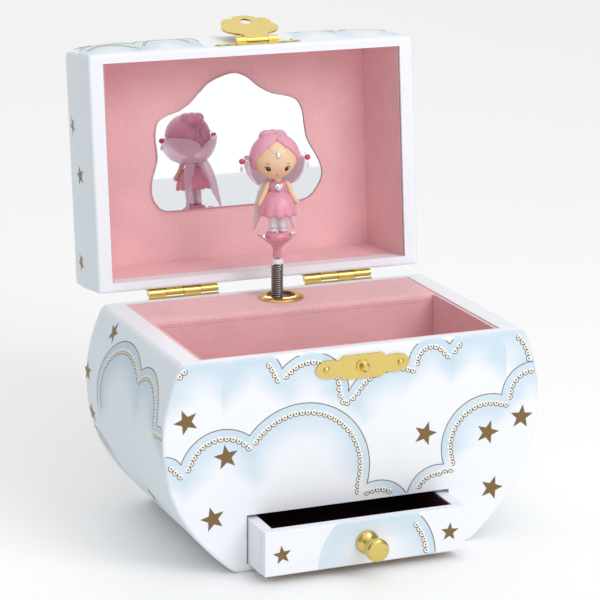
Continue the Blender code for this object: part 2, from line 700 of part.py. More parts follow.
def pinned_cylinder():
    """Arbor, crown pinion, governor gear, pinned cylinder and the cup under the spring."""
    origin = (AXIS_X, AXIS_Y, 0.0)
    profile = [(1.2, 52.7), (1.2, 60.2), (6.0, 60.5), (6.0, 79.5), (1.2, 79.8), (1.2, 83.9), (2.7, 84.2),
               (2.7, 86.2)]
    body = turned("cylinder", AXIS_X, AXIS_Y, profile, "brass", 24, origin)
    pinion = prism("pinion", gear_outline(AXIS_X, AXIS_Y, 2.9, 4.0, 12), 53.0, 55.2, "xy", "brass")
    combine(body, pinion, "UNION")
    gear = prism("gear", gear_outline(AXIS_X, AXIS_Y, 8.6, 9.2, 48), 58.3, 59.5, "xy", "brass")
    combine(body, gear, "UNION")
    for row in range(9):
        for turn in range(2):
            angle = math.radians((row * 77 + turn * 191) % 360)
            z = 61.6 + row * 2.0
            pin = box("pin", (AXIS_X + 5.6, AXIS_Y - 0.25, z - 0.25),
                      (AXIS_X + 6.5, AXIS_Y + 0.25, z + 0.25), "brass")
            centre = Vector((AXIS_X, AXIS_Y, 0.0))
            spin = Matrix.Rotation(angle, 4, "Z")
            for vert in pin.data.vertices:
                point = vert.co / MM - centre
                vert.co = (spin @ point + centre) * MM
            combine(body, pin, "UNION")


def governor():
    origin = (GOVERNOR_X, GOVERNOR_Y, 0.0)
    shaft = [(0.6, 56.4), (0.6, 83.0)]
    body = turned("governor", GOVERNOR_X, GOVERNOR_Y, shaft, "brass", 12, origin)
    pinion = prism("pinion", gear_outline(GOVERNOR_X, GOVERNOR_Y, 0.9, 1.35, 6), 58.1, 59.7, "xy", "brass")
    combine(body, pinion, "UNION")
    fan = box("fan", (GOVERNOR_X - 3.4, GOVERNOR_Y - 0.25, 64.0),
              (GOVERNOR_X + 3.4, GOVERNOR_Y + 0.25, 74.0), "brass")
    combine(body, fan, "UNION")


# ------------------------------------------------------------------ dancer

def coil(name, radius, wire, low, high, turns, colour):
    """A closed round wire wound about the dancer's axis."""
    around = 12
    sides = 6
    total = turns * around
    rings = []
    for i in range(total + 1):
        angle = 2.0 * math.pi * i / around
        z = low + (high - low) * i / total
        ring = []
        for k in range(sides):
            tilt = 2.0 * math.pi * k / sides
            r = radius + wire * math.cos(tilt)
            x = AXIS_X + r * math.cos(angle)
            y = AXIS_Y + r * math.sin(angle)
            ring.append((x, y, z + wire * math.sin(tilt)))
        rings.append(list(reversed(ring)))
    verts, faces = stack_data(rings)
    return make(name, verts, faces, colour)


def stacked(name, rings, colour):
    verts, faces = stack_data(rings)
    return make(name, verts, faces, colour, (AXIS_X, AXIS_Y, 0.0))


def dancer_base():
    coil("dancer_spring", 2.0, 0.4, 87.0, 104.6, 12, "silver")
    hinge = (AXIS_X, AXIS_Y, FOLD_Z)
    turned("spring_collar", AXIS_X, AXIS_Y, [(2.5, 105.3), (2.9, 105.7), (2.9, 107.2), (2.4, 107.7)],
           "silver", 20, hinge)
    profile = [(1.9, 107.9), (1.8, 110.5), (2.1, 112.6), (3.6, 114.2), (6.0, 115.4), (8.2, 116.2),
               (8.3, 116.8),
               (5.4, 116.6), (5.3, 117.8), (3.8, 118.9)]
    rings = []
    for radius, z in profile:
        wave = 0.07 if radius > 4.0 else 0.0
        rings.append(ring_z(AXIS_X, AXIS_Y, z, radius, count=20, lobes=5, depth=wave))
    stacked("dancer_stand", rings, "dress")


def dancer_body():
    x = AXIS_X
    y = AXIS_Y
    legs = None
    for side in (-1, 1):
        rings = [ring_z(x + side * 2.3, y - 1.0, 119.0, 1.9, 2.7),
                 ring_z(x + side * 2.3, y - 1.1, 120.3, 2.0, 2.8),
                 ring_z(x + side * 2.3, y - 0.2, 121.6, 1.6, 1.8),
                 ring_z(x + side * 2.2, y, 124.5, 1.8, 1.9),
                 ring_z(x + side * 2.0, y, 127.6, 2.0, 2.1)]
        leg = stacked("dancer_legs", rings, "silver")
        legs = leg if legs is None else combine(legs, leg, "UNION")
    hips = stacked("hips", ball(x, y, 127.4, 3.6, 2.7, 1.5), "silver")
    combine(legs, hips, "UNION")
    rings = [ring_z(x, y, 126.1, 8.9, 8.6, 20, 10, 0.03), ring_z(x, y, 126.9, 9.2, 8.9, 20, 10, 0.03),
             ring_z(x, y, 129.4, 7.6, 7.2, 20), ring_z(x, y, 132.6, 4.9, 4.5, 20),
             ring_z(x, y, 135.4, 3.2, 2.8, 20),
             ring_z(x, y, 137.2, 3.1, 2.7, 20), ring_z(x, y, 139.4, 4.0, 3.1, 20),
             ring_z(x, y, 141.0, 3.9, 2.8, 20),
             ring_z(x, y, 142.0, 1.9, 1.8, 20)]
    dress = stacked("dancer_dress", rings, "dress")
    hollow = [ring_z(x, y, 125.0, 8.4, 8.0, 20), ring_z(x, y, 127.4, 7.4, 7.0, 20),
              ring_z(x, y, 129.8, 4.4, 4.0, 20)]
    combine(dress, stacked("hollow", hollow, "dress"), "DIFFERENCE")


def limb(name, points, colour):
    """A rounded arm through (x, y, z, radius) points."""
    rings = []
    for px, py, pz, radius in points:
        rings.append(ring_z(AXIS_X + px, AXIS_Y + py, pz, radius, radius, 12))
    return stacked(name, rings, colour)


def dancer_arms():
    for side, name in ((-1, "dancer_arm_left"), (1, "dancer_arm_right")):
        points = [(side * 8.4, -1.9, 131.0, 0.7), (side * 8.3, -1.9, 131.8, 1.3),
                  (side * 7.9, -1.7, 133.0, 1.2),
                  (side * 7.1, -1.2, 135.2, 1.1), (side * 6.2, -0.8, 137.6, 1.2),
                  (side * 5.5, -0.5, 139.6, 1.1),
                  (side * 5.3, -0.4, 140.3, 0.5)]
        limb(name, points, "skin")


def dancer_head():
    x = AXIS_X
    y = AXIS_Y
    head = stacked("dancer_head", ball(x, y - 0.6, 151.6, 9.7, 9.3, 8.9, 10, 20), "skin")
    combine(head, stacked("neck", [ring_z(x, y, 142.1, 1.6), ring_z(x, y, 145.0, 1.6)], "skin"), "UNION")
    hair = stacked("dancer_hair", ball(x, y + 0.6, 152.5, 11.4, 11.2, 10.2, 10, 20), "hair")
    room = stacked("room", ball(x, y - 0.6, 151.6, 9.9, 9.5, 9.1, 10, 20), "hair")
    combine(hair, room, "DIFFERENCE")
    face = box("face", (x - 8.6, y - 20.0, 138.0), (x + 8.6, y - 2.0, 157.5), "hair")
    combine(hair, face, "DIFFERENCE")
    low = box("low", (x - 20.0, y - 20.0, 138.0), (x + 20.0, y + 20.0, 144.4), "hair")
    combine(hair, low, "DIFFERENCE")
    bun = stacked("bun", ball(x, y + 5.6, 159.6, 5.6, 5.0, 4.4, 8, 16), "hair")
    combine(hair, bun, "UNION")
    combine(hair, stacked("room", ball(x, y - 0.6, 151.6, 9.9, 9.5, 9.1, 10, 20), "hair"), "DIFFERENCE")
    for side in (-1, 1):
        drop = stacked("drop", ball(x + side * 13.6, y + 0.6, 151.0, 1.4, 1.4, 1.4, 6, 12), "hair")
        combine(hair, drop, "UNION")
        low_x, high_x = sorted((x + side * 10.8, x + side * 13.0))
        combine(hair, rod_x("wire", y + 0.6, 151.0, 0.6, low_x, high_x, "hair", 10), "UNION")


def dancer_trim():
    half = [(0.0, 134.0), (1.4, 131.0), (2.6, 126.5), (4.6, 122.0), (7.0, 120.4), (8.8, 121.6),
            (9.2, 124.6),
            (8.0, 128.0), (6.4, 131.4), (6.2, 134.0), (9.2, 135.2), (11.4, 138.4), (11.8, 142.2),
            (10.2, 144.6),
            (7.4, 143.6), (4.4, 141.6), (1.8, 140.4), (0.0, 140.2)]
    outline = half + [(-px, z) for px, z in reversed(half[1:-1])]
    verts, faces = prism_data(outline, 0.0, 0.8, "xz")
    bent = []
    for px, depth, z in verts:
        lean = min(max((134.5 - z) / 8.0, 0.0), 1.0)
        bent.append((AXIS_X + px, AXIS_Y + 5.2 + 4.9 * lean + depth, z))
    make("dancer_wings", bent, faces, "wing", (AXIS_X, AXIS_Y, 0.0))
    heart = [(0.0, -1.3), (1.3, 0.1), (1.25, 0.9), (0.7, 1.2), (0.0, 0.7), (-0.7, 1.2), (-1.25, 0.9),
             (-1.3, 0.1)]
    outline = [(AXIS_X + px, 138.9 + pz) for px, pz in heart]
    prism("dancer_heart", outline, AXIS_Y - 4.0, AXIS_Y - 3.2, "xz", "silver", (), (AXIS_X, AXIS_Y, 0.0))


def turn_doll():
    """The doll stands turned a little toward the left."""
    centre = Vector((AXIS_X, AXIS_Y, 0.0))
    turn = Matrix.Translation(centre) @ Matrix.Rotation(math.radians(DOLL_TURN), 4,
                                                        "Z") @ Matrix.Translation(-centre)
    for item in bpy.data.objects:
        if item.name.startswith("dancer_") and item.name != "dancer_spring":
            settle(item, turn, centre)


clear_scene()
case_boards()
tray()
strike()
hinges()
lid_boards()
lid_inside()
hasp()
drawer()
movement_frame()
comb()
winding()
pinned_cylinder()
governor()
dancer_base()
dancer_body()
dancer_arms()
dancer_head()
dancer_trim()
turn_doll()
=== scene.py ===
"""Ballerina jewellery box: the visual model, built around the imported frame. Lengths are in mm until MM."""
from math import atan2, cos, degrees, exp, hypot, pi, radians, sin, sqrt

import bmesh
import bpy
from mathutils import Matrix, Vector


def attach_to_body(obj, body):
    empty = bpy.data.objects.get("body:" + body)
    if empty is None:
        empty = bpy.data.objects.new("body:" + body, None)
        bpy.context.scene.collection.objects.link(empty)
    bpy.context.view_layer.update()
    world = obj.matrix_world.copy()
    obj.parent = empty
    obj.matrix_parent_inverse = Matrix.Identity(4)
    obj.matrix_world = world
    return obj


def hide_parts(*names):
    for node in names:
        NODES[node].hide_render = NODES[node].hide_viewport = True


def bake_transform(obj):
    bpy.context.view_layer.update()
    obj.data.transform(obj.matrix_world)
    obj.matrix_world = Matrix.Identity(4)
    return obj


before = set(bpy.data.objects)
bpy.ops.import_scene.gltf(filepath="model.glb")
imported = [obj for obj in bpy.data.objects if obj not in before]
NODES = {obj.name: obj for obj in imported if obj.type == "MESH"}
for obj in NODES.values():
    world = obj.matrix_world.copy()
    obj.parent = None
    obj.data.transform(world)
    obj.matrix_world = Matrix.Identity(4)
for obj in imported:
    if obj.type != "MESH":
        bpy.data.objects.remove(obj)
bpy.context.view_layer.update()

MM = 0.001

# case
HALF_DEPTH = 50
HEIGHT = 90
EDGE = 1.6
# lid, drawn shut: u across, v from the hinge side, w up
LID_X = -1.5
LID_BACK = 50
LID_LOW = 90.3
LID_DEPTH = 102
LID_CENTRE = (0, 15)
PIN = Vector((0, 51.83, 92.02))
LID_OPEN = 95.8
# dancer
AXIS = Vector((-1.6, 33, 0))
DOLL_TURN = -11.5
HEAD = Vector((-1.2, 0, 151.6))
HEAD_SIZE = (9.7, 8.9, 9.3)
TIP_TURN = 0.3
# drawer
DRAWER_X = -2.7
DRAWER_FRONT = -68.3
# prints
PRINT_UNIT = 100
INK_ROOT = -0.04
FOIL_LIFT = 0.05
LACE_IN = 3.9
LACE_PITCH = 2.6
LACE_R = 1.2


# ---- materials

def srgb(red, green, blue):
    """A colour given as 0-255 display values, in linear light."""
    linear = []
    for value in (red, green, blue):
        share = value / 255
        linear.append(share / 12.92 if share <= 0.04045 else ((share + 0.055) / 1.055) ** 2.4)
    return (*linear, 1)


def add_node(tree, kind, inputs=None, **settings):
    """A new node with its properties and sockets set; a socket value may be another socket."""
    made = tree.nodes.new(kind)
    for key, value in settings.items():
        setattr(made, key, value)
    for key, value in (inputs or {}).items():
        if isinstance(value, bpy.types.NodeSocket):
            tree.links.new(value, made.inputs[key])
        else:
            made.inputs[key].default_value = value
    return made


def sums(tree, operation, a, b=0, c=None, clamp=False):
    values = {0: a, 1: b}
    if c is not None:
        values[2] = c
    return add_node(tree, "ShaderNodeMath", values, operation=operation, use_clamp=clamp).outputs[0]


def noise(tree, scale, detail=3, roughness=0.55):
    """Noise over the surface's own place, so that it stays put when the piece moves."""
    place = add_node(tree, "ShaderNodeTexCoord").outputs["Object"]
    inputs = {"Vector": place, "Scale": scale, "Detail": detail, "Roughness": roughness}
    return add_node(tree, "ShaderNodeTexNoise", inputs).outputs["Fac"]


def ramp(tree, value, stops):
    made = add_node(tree, "ShaderNodeValToRGB", {"Fac": value})
    elements = made.color_ramp.elements
    elements[0].position, elements[0].color = stops[0]
    elements[1].position, elements[1].color = stops[-1]
    for position, colour in stops[1:-1]:
        elements.new(position).color = colour
    return made.outputs["Color"]


def spread(colour, share):
    return tuple(min(max(c * share, 0), 1) for c in colour[:3]) + (1,)


LOOKS = {}


def surface(name, colour, roughness, vary=0.06, patch=60, grain=900, bump=0.1, height=0.0002,
            uneven=0.12, **sockets):
    """A Principled material in LOOKS, with mottled colour, uneven roughness and a fine bump."""
    material = bpy.data.materials.new(name)
    material.use_nodes = True
    tree = material.node_tree
    shader = tree.nodes["Principled BSDF"]
    fine = noise(tree, grain)
    broad = noise(tree, patch, 2)
    both = sums(tree, "ADD", sums(tree, "MULTIPLY", broad, 0.6), sums(tree, "MULTIPLY", fine, 0.4))
    stops = [(0.3, spread(colour, 1 - vary)), (0.7, spread(colour, 1 + vary))]
    tree.links.new(ramp(tree, both, stops), shader.inputs["Base Color"])
    low = max(roughness - uneven / 2, 0)
    rough = sums(tree, "MULTIPLY_ADD", fine, uneven, low)
    tree.links.new(rough, shader.inputs["Roughness"])
    relief = add_node(tree, "ShaderNodeBump", {"Strength": bump, "Distance": height, "Height": fine})
    tree.links.new(relief.outputs["Normal"], shader.inputs["Normal"])
    for key, value in sockets.items():
        shader.inputs[key.replace("_", " ")].default_value = value
    LOOKS[name] = material
    return material


def metal(name, colour, roughness):
    surface(name, colour, roughness, 0.04, 120, 1500, 0.03, 0.0001, Metallic=1)


def flock(name, colour, sheen=0.5):
    """Short-pile velvet paper."""
    tint = tuple(min(c * 1.3 + 0.1, 1) for c in colour[:3]) + (1,)
    surface(name, colour, 0.9, 0.14, 25, 1300, 0.6, 0.0004, Sheen_Weight=sheen, Sheen_Roughness=0.5,
            Sheen_Tint=tint, Specular_IOR_Level=0.15)


def cloud_depth(tree, u, v, circle):
    """How far a point is inside one lobe, which reaches straight down, and how deep its blue counts."""
    cx, cz, radius = (value / PRINT_UNIT for value in circle)
    across = sums(tree, "SUBTRACT", u, cx)
    rise = sums(tree, "SUBTRACT", v, cz)
    above = sums(tree, "MAXIMUM", rise, 0)
    below = sums(tree, "MAXIMUM", sums(tree, "MULTIPLY", rise, -1.3), 0)
    square = sums(tree, "ADD", sums(tree, "MULTIPLY", across, across), sums(tree, "MULTIPLY", above, above))
    edge = sums(tree, "SUBTRACT", radius, sums(tree, "SQRT", square))
    return edge, sums(tree, "ADD", edge, below)


def cloud_paper(name, clouds, pale, blue):
    """Printed paper: each cloud, back to front, is blue under its outline and fades downward."""
    material = surface(name, pale, 0.42, 0.015, 30, 1400, 0.12, 0.00015, Specular_IOR_Level=0.4)
    tree = material.node_tree
    shader = tree.nodes["Principled BSDF"]
    place = add_node(tree, "ShaderNodeUVMap", uv_map="print").outputs[0]
    u, v, _ = add_node(tree, "ShaderNodeSeparateXYZ", {0: place}).outputs
    amount = 0.10
    for circles in clouds:
        edge, depth = cloud_depth(tree, u, v, circles[0])
        for circle in circles[1:]:
            next_edge, next_depth = cloud_depth(tree, u, v, circle)
            edge = sums(tree, "MAXIMUM", edge, next_edge)
            depth = sums(tree, "MAXIMUM", depth, next_depth)
        fade = add_node(tree, "ShaderNodeMapRange", {0: depth, 1: 0.03, 2: 0.19, 3: 0.85, 4: 0.08},
                        interpolation_type="SMOOTHSTEP").outputs[0]
        inside = sums(tree, "GREATER_THAN", edge, 0)
        amount = add_node(tree, "ShaderNodeMix", {0: inside, 2: amount, 3: fade}).outputs[0]
    wash = sums(tree, "MULTIPLY_ADD", noise(tree, 55, 4, 0.65), 0.9, 0.5)
    amount = sums(tree, "MULTIPLY", amount, wash, clamp=True)
    tree.links.new(ramp(tree, amount, [(0, pale), (1, blue)]), shader.inputs["Base Color"])


# ---- meshes

def half_width(z):
    """Half the case's width at height z."""
    if z > 59:
        return 83.1 - 8 * ((z - 59) / 31) ** 2
    return 83.1 - 30.6 * ((59 - max(z, 0)) / 59) ** 2.35


def dome(u):
    return 31.5 + 8.5 * sqrt(max(1 - min(abs(u) / 75, 1) ** 4, 0))


def smooth_marks(marks, value):
    """Smooth curve through (place, amount) marks."""
    for (a, low), (b, high) in zip(marks, marks[1:]):
        if value <= b:
            share = min(max((value - a) / (b - a), 0), 1)
            return low + (high - low) * share * share * (3 - 2 * share)
    return marks[-1][1]


LID_PUSH = [(0, 0), (9, 0), (23, 2.9), (29, 2.6), (36, 0.4), (40, -1.4)]
LID_SIDE = [(0, 75), (18, 75.9), (31.5, 75), (35.2, 73)]


def lid_push(u, w):
    """How far the padded lid front stands out."""
    push = smooth_marks(LID_PUSH, w * 40 / dome(u))
    swell = sqrt(max(1 - min(abs(u) / 75.5, 1) ** 6, 0))
    return push * swell if push > 0 else push


def shut(u, v, w):
    return Vector((LID_X + u, LID_BACK - v, LID_LOW + w))


LID_SWING = Matrix.Translation(PIN) @ Matrix.Rotation(radians(-LID_OPEN), 4, "X") @ Matrix.Translation(-PIN)


DOLL = Matrix.Translation(AXIS) @ Matrix.Rotation(radians(DOLL_TURN), 4, "Z")
# how the pieces of a body that is drawn in its own place are set in the frame
SETTINGS = {"lid": LID_SWING, "dancer": DOLL}


def finish_mesh(name, shape, look, body=None, replaces=(), angle=40):
    """A mesh object from (points in mm, faces), smooth up to an angle, riding on a body."""
    data = bpy.data.meshes.new(name)
    matrix = SETTINGS.get(body, Matrix.Identity(4))
    data.from_pydata([matrix @ Vector(v) * MM for v in shape[0]], [], shape[1])
    item = bpy.data.objects.new(name, data)
    bpy.context.scene.collection.objects.link(item)
    tidy = bmesh.new()
    tidy.from_mesh(data)
    bmesh.ops.recalc_face_normals(tidy, faces=tidy.faces)
    tidy.to_mesh(data)
    tidy.free()
    data.materials.append(LOOKS[look])
    data.shade_smooth()
    data.set_sharp_from_angle(angle=radians(angle))
    if body:
        attach(item, body, replaces)
    return item


def attach(item, body, replaces=()):
    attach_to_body(item, body)
    if replaces:
        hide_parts(*replaces)


def loft(rings, capped=True):
    """Points and faces through rings of equal length."""
    count = len(rings[0])
    verts = [point for ring in rings for point in ring]
    faces = []
    for i in range(len(rings) - 1):
        for k in range(count):
            a = i * count + k
            b = i * count + (k + 1) % count
            faces.append((a, b, b + count, a + count))
    if capped:
        faces.append(tuple(range(count)))
        faces.append(tuple(range(len(verts) - count, len(verts))))
    return verts, faces


def around(count, place):
    """A ring of points; place makes one from its angle's cosine and sine."""
    angles = [2 * pi * k / count for k in range(count)]
    return [place(cos(a), sin(a)) for a in angles]


def join(parts):
    """One list of points and one of faces from several."""
    verts, faces = [], []
    for some_verts, some_faces in parts:
        start = len(verts)
        verts += some_verts
        faces += [tuple(start + i for i in face) for face in some_faces]
    return verts, faces


def inset(outline, amount):
    """A closed outline of (a, b) points moved inward, square to itself."""
    area = sum(p[0] * q[1] - q[0] * p[1] for p, q in zip(outline, outline[1:] + outline[:1]))
    side = 1 if area > 0 else -1
    moved = []
    for i, point in enumerate(outline):
        before = Vector(outline[i - 1])
        after = Vector(outline[(i + 1) % len(outline)])
        along = (after - before).normalized()
        moved.append((point[0] - side * along.y * amount, point[1] + side * along.x * amount))
    return moved


def round_corner(corner, start, end, radius, steps=6):
    """Points that round a corner between two neighbouring points."""
    a = Vector(start) - Vector(corner)
    b = Vector(end) - Vector(corner)
    a.normalize()
    b.normalize()
    first = Vector(corner) + a * radius
    last = Vector(corner) + b * radius
    points = []
    for i in range(steps + 1):
        t = i / steps
        points.append(tuple(first * (1 - t) ** 2 + Vector(corner) * 2 * t * (1 - t) + last * t * t))
    return points


def case_outline():
    """The case's outline in x and z, its four corners rounded."""
    levels = [2.6 + i * 84.8 / 40 for i in range(41)]
    right = [(half_width(z), z) for z in levels]
    foot = half_width(0)
    top = half_width(HEIGHT)
    low = round_corner((foot, 0), (0, 0), right[0], 1.9)
    high = round_corner((top, HEIGHT), right[-1], (0, HEIGHT), 2.3)
    side = low + right + high
    return side + [(-x, z) for x, z in reversed(side)]


def lid_outline():
    """The shut lid's outline in u and w: flat below, domed above."""
    right = [(smooth_marks(LID_SIDE, w), w) for w in (3, 6, 10, 14, 18, 22, 26, 29, 31.5)]
    right += [(74.3, 33.4), (73, 34.7)]
    right += [(u, dome(u)) for u in (71.2, 69, 66, 62, 57, 51, 44, 36, 28, 20, 12, 4)]
    side = round_corner((75, 0), (0, 0), right[0], 2) + right
    return side + [(-u, w) for u, w in reversed(side)]


def edge_steps(radius, steps=5):
    """(inset, depth) pairs that round an end's edge."""
    pairs = []
    for i in range(steps + 1):
        angle = radians(90 * i / steps)
        pairs.append((radius * (1 - sin(angle)), radius * (1 - cos(angle))))
    return pairs


def cut(item, shape):
    """Cuts a closed shape out of an object for good."""
    tool = finish_mesh("tool", shape, "paper_plain")
    modifier = item.modifiers.new("cut", "BOOLEAN")
    modifier.operation = "DIFFERENCE"
    modifier.solver = "EXACT"
    modifier.object = tool
    depsgraph = bpy.context.evaluated_depsgraph_get()
    data = bpy.data.meshes.new_from_object(item.evaluated_get(depsgraph))
    item.modifiers.clear()
    old = item.data
    item.data = data
    bpy.data.meshes.remove(old)
    bpy.data.objects.remove(tool)


def box_data(low, high):
    (x0, y0, z0), (x1, y1, z1) = low, high
    ring = [(x0, y0), (x1, y0), (x1, y1), (x0, y1)]
    return loft([[(x, y, z) for x, y in ring] for z in (z0, z1)])


def sheet_faces(item, rules):
    """Gives each face the paper of the first (paper, test, place) rule it meets, and its place there."""
    data = item.data
    data.materials.clear()
    for paper in [rule[0] for rule in rules] + ["plain"]:
        data.materials.append(LOOKS["paper_" + paper])
    layer = data.uv_layers.get("print") or data.uv_layers.new(name="print")
    for face in data.polygons:
        centre = face.center / MM
        matching = [number for number, rule in enumerate(rules) if rule[1](face.normal, centre)]
        chosen = matching[0] if matching else len(rules)
        face.material_index = chosen
        for loop in face.loop_indices:
            point = data.vertices[data.loops[loop].vertex_index].co / MM
            where = rules[chosen][2](point) if matching else (point.x, point.y)
            layer.data[loop].uv = (where[0] / PRINT_UNIT, where[1] / PRINT_UNIT)


def crisp(item):
    item.data.shade_smooth()
    item.data.set_sharp_from_angle(angle=radians(35))
    modifier = item.modifiers.new("weighted", "WEIGHTED_NORMAL")
    modifier.keep_sharp = True


# ---- printed clouds

CLOUD_A = [(-82.4, 44.9, 8.1), (-57.8, 43.1, 18.6), (-23.4, 39.3, 29.5), (9.9, 17, 15.1)]
CLOUD_B = [(36.9, 21.5, 14.1), (59.4, 42.5, 21), (79.3, 61.7, 13.7)]
CLOUD_C = [(-45, 80, 13.2), (-20.3, 72.8, 16.7), (16.2, 60.3, 22.8), (33.2, 80.2, 10.4), (53, 78.5, 14.4)]
CLOUD_E = [(62.5, 75, 19.3)]
CLOUD_F = [(-66, 76.5, 17)]
SIDE_MAIN = [(-47, 45, 19.5), (-25.5, 64.8, 17.4), (3, 54, 31)]
SIDE_LOW = [(46, 22, 15)]
TOP_CLOUD = [(-58, 40, 22), (-22, 52, 27), (18, 44, 21), (50, 56, 24)]
LID_CLOUD = [(-60, 8, 16), (-34, 14, 15), (36, 20, 12), (60, 12, 18)]
DRAWER_CLOUD = [(4.6, 4, 25.9)]


def turned(cloud):
    """The cloud mirrored left to right."""
    return [(-u, v, radius) for u, v, radius in reversed(cloud)]


def arc_points(circle, start, end, step=3):
    cx, cz, radius = circle
    count = max(int(abs(end - start) / step), 2)
    angles = [radians(start + (end - start) * i / count) for i in range(count + 1)]
    return [(cx + radius * cos(a), cz + radius * sin(a)) for a in angles]


def meeting(one, two, less=0):
    """The upper point where two lobes cross, or None."""
    a, b = Vector(one[:2]), Vector(two[:2])
    ra, rb = one[2] - less, two[2] - less
    gap = (b - a).length
    if gap > ra + rb or gap < abs(ra - rb):
        return None
    along = (ra * ra - rb * rb + gap * gap) / (2 * gap)
    rise = sqrt(max(ra * ra - along * along, 0))
    unit = (b - a).normalized()
    return a + unit * along + Vector((-unit.y, unit.x)) * rise


def bearing(circle, point):
    return degrees(atan2(point[1] - circle[1], point[0] - circle[0]))


def lobes(circles, start, end, less=0):
    """(circle, start, end) for each lobe of a cloud, going clockwise from valley to valley."""
    spans = []
    first = start
    for i, circle in enumerate(circles):
        last = end
        following = None
        if i + 1 < len(circles):
            valley = meeting(circle, circles[i + 1], less) or meeting(circle, circles[i + 1])
            last = bearing(circle, valley)
            following = bearing(circles[i + 1], valley)
        if last > first:
            last -= 360
        spans.append(((circle[0], circle[1], circle[2] - less), first, last))
        first = following
    return spans


class Ink:
    """Foil and lace as thin closed strips and patches lying on one face."""

    def __init__(self, mapper, inside):
        self.mapper = mapper
        self.inside = inside
        self.foil = []
        self.lace = []
        self.loops = []

    def strip(self, line, width):
        """A ribbon of foil along a line, dropped where it leaves the face."""
        run = []
        for point in line + [None]:
            if point is not None and self.inside(*point):
                run.append(Vector(point))
                continue
            if len(run) > 1:
                self.foil.append(self.ribbon(run, width))
            run = []

    def ribbon(self, run, width):
        rings = []
        for i, point in enumerate(run):
            along = (run[min(i + 1, len(run) - 1)] - run[max(i - 1, 0)]).normalized()
            side = Vector((-along.y, along.x)) * width / 2
            left, right = point + side, point - side
            rings.append([self.mapper(*left, FOIL_LIFT), self.mapper(*right, FOIL_LIFT),
                          self.mapper(*right, INK_ROOT), self.mapper(*left, INK_ROOT)])
        return loft(rings)

    def patch(self, outline, centre, lift, into):
        """A flat patch with its own thickness, split so that it follows a curved face."""
        middle = [((p[0] + centre[0]) / 2, (p[1] + centre[1]) / 2) for p in outline]
        count = len(outline)
        verts = [self.mapper(*p, lift) for p in outline] + [self.mapper(*p, lift) for p in middle]
        verts += [self.mapper(*centre, lift)] + [self.mapper(*p, INK_ROOT) for p in outline]
        verts += [self.mapper(*centre, INK_ROOT)]
        faces = []
        for i in range(count):
            j = (i + 1) % count
            faces.append((i, j, count + j, count + i))
            faces.append((count + i, count + j, 2 * count))
            faces.append((j, i, 2 * count + 1 + i, 2 * count + 1 + j))
            faces.append((2 * count + 1 + j, 2 * count + 1 + i, 3 * count + 1))
        into.append((verts, faces))

    def star(self, u, v, radius, turn):
        outline = []
        for i in range(10):
            reach = radius if i % 2 == 0 else radius * 0.42
            angle = radians(90 + turn + 36 * i)
            outline.append((u + reach * cos(angle), v + reach * sin(angle)))
        self.patch(outline, (u, v), 0.06, self.foil)

    def stars(self, radius, places):
        for u, v, turn in places:
            self.star(u, v, radius, turn)

    def scallop(self, u, v, inward):
        """One loop of lace: a cream disc, a foil loop open toward the outline and a foil dot."""
        centre = Vector((u, v))
        if not self.inside(u + 1, v + 1) or not self.inside(u - 1, v - 1):
            return
        if any((centre - other).length < 1.5 * LACE_R for other in self.loops):
            return
        self.loops.append(centre)
        across = Vector((-inward.y, inward.x))
        disc = arc_points((u, v, LACE_R), 0, 330, 30)
        self.patch(disc, (u, v), 0.03, self.lace)
        bow = []
        for i in range(11):
            angle = radians(-105 + 21 * i)
            bow.append(centre + (inward * cos(angle) + across * sin(angle)) * LACE_R)
        self.strip([tuple(p) for p in bow], 0.36)
        self.patch(arc_points((u, v, 0.42), 0, 315, 45), (u, v), 0.055, self.foil)

    def cloud(self, circles, start, end, line=True):
        """A cloud's foil outline and the row of lace inside it."""
        if line:
            for circle, first, last in lobes(circles, start, end):
                self.strip(arc_points(circle, first, last), 0.38)
        for (u, v, radius), first, last in lobes(circles, start, end, LACE_IN):
            count = max(int(round(radians(first - last) * radius / LACE_PITCH)), 1)
            for i in range(count):
                angle = radians(first + (last - first) * (i + 0.5) / count)
                out = Vector((cos(angle), sin(angle)))
                self.scallop(u + radius * out.x, v + radius * out.y, -out)
        for one, two in zip(circles, circles[1:]):
            self.valley_lace(one, two)

    def valley_lace(self, one, two):
        """Where the inner arcs do not cross, lace runs on from both to a point below the valley."""
        valley = meeting(one, two)
        if meeting(one, two, LACE_IN) or not valley:
            return
        outs = [(valley - Vector(circle[:2])).normalized() for circle in (one, two)]
        middle = outs[0] + outs[1]
        tip = valley - middle.normalized() * min(2 * LACE_IN / middle.length, 1.5 * LACE_IN)
        for end in (valley - out * LACE_IN for out in outs):
            run = tip - end
            count = max(int(round(run.length / LACE_PITCH)), 1)
            facing = Vector((-run.y, run.x)).normalized()
            if facing.x * (end - valley).x < 0:
                facing = -facing
            for i in range(count):
                place = end + run * (i + 0.5) / count
                self.scallop(place.x, place.y, facing)

    def build(self, name, body):
        if self.foil:
            finish_mesh(name + "_foil", join(self.foil), "foil", body, angle=30)
        if self.lace:
            finish_mesh(name + "_lace", join(self.lace), "lace_cream", body, angle=30)


def on_front(x, z, lift):
    """A point on the front panel, following its rounded side edges."""
    over = abs(x) - (half_width(z) - EDGE)
    depth = EDGE - sqrt(max(EDGE * EDGE - over * over, 0)) if over > 0 else 0
    return (x, -HALF_DEPTH + depth - lift, z)


def side_normal(z):
    slope = half_width(z + 0.5) - half_width(z - 0.5)
    length = hypot(1, slope)
    return 1 / length, -slope / length


def on_left(y, z, lift):
    out, up = side_normal(z)
    return (-half_width(z) - out * lift, y, z + up * lift)


def flipped(mapper, axis):
    """The same face on the object's other side, across x (0) or y (1)."""
    signs = [-1 if i == axis else 1 for i in range(3)]
    return lambda a, b, lift: tuple(sign * value for sign, value in zip(signs, mapper(a, b, lift)))


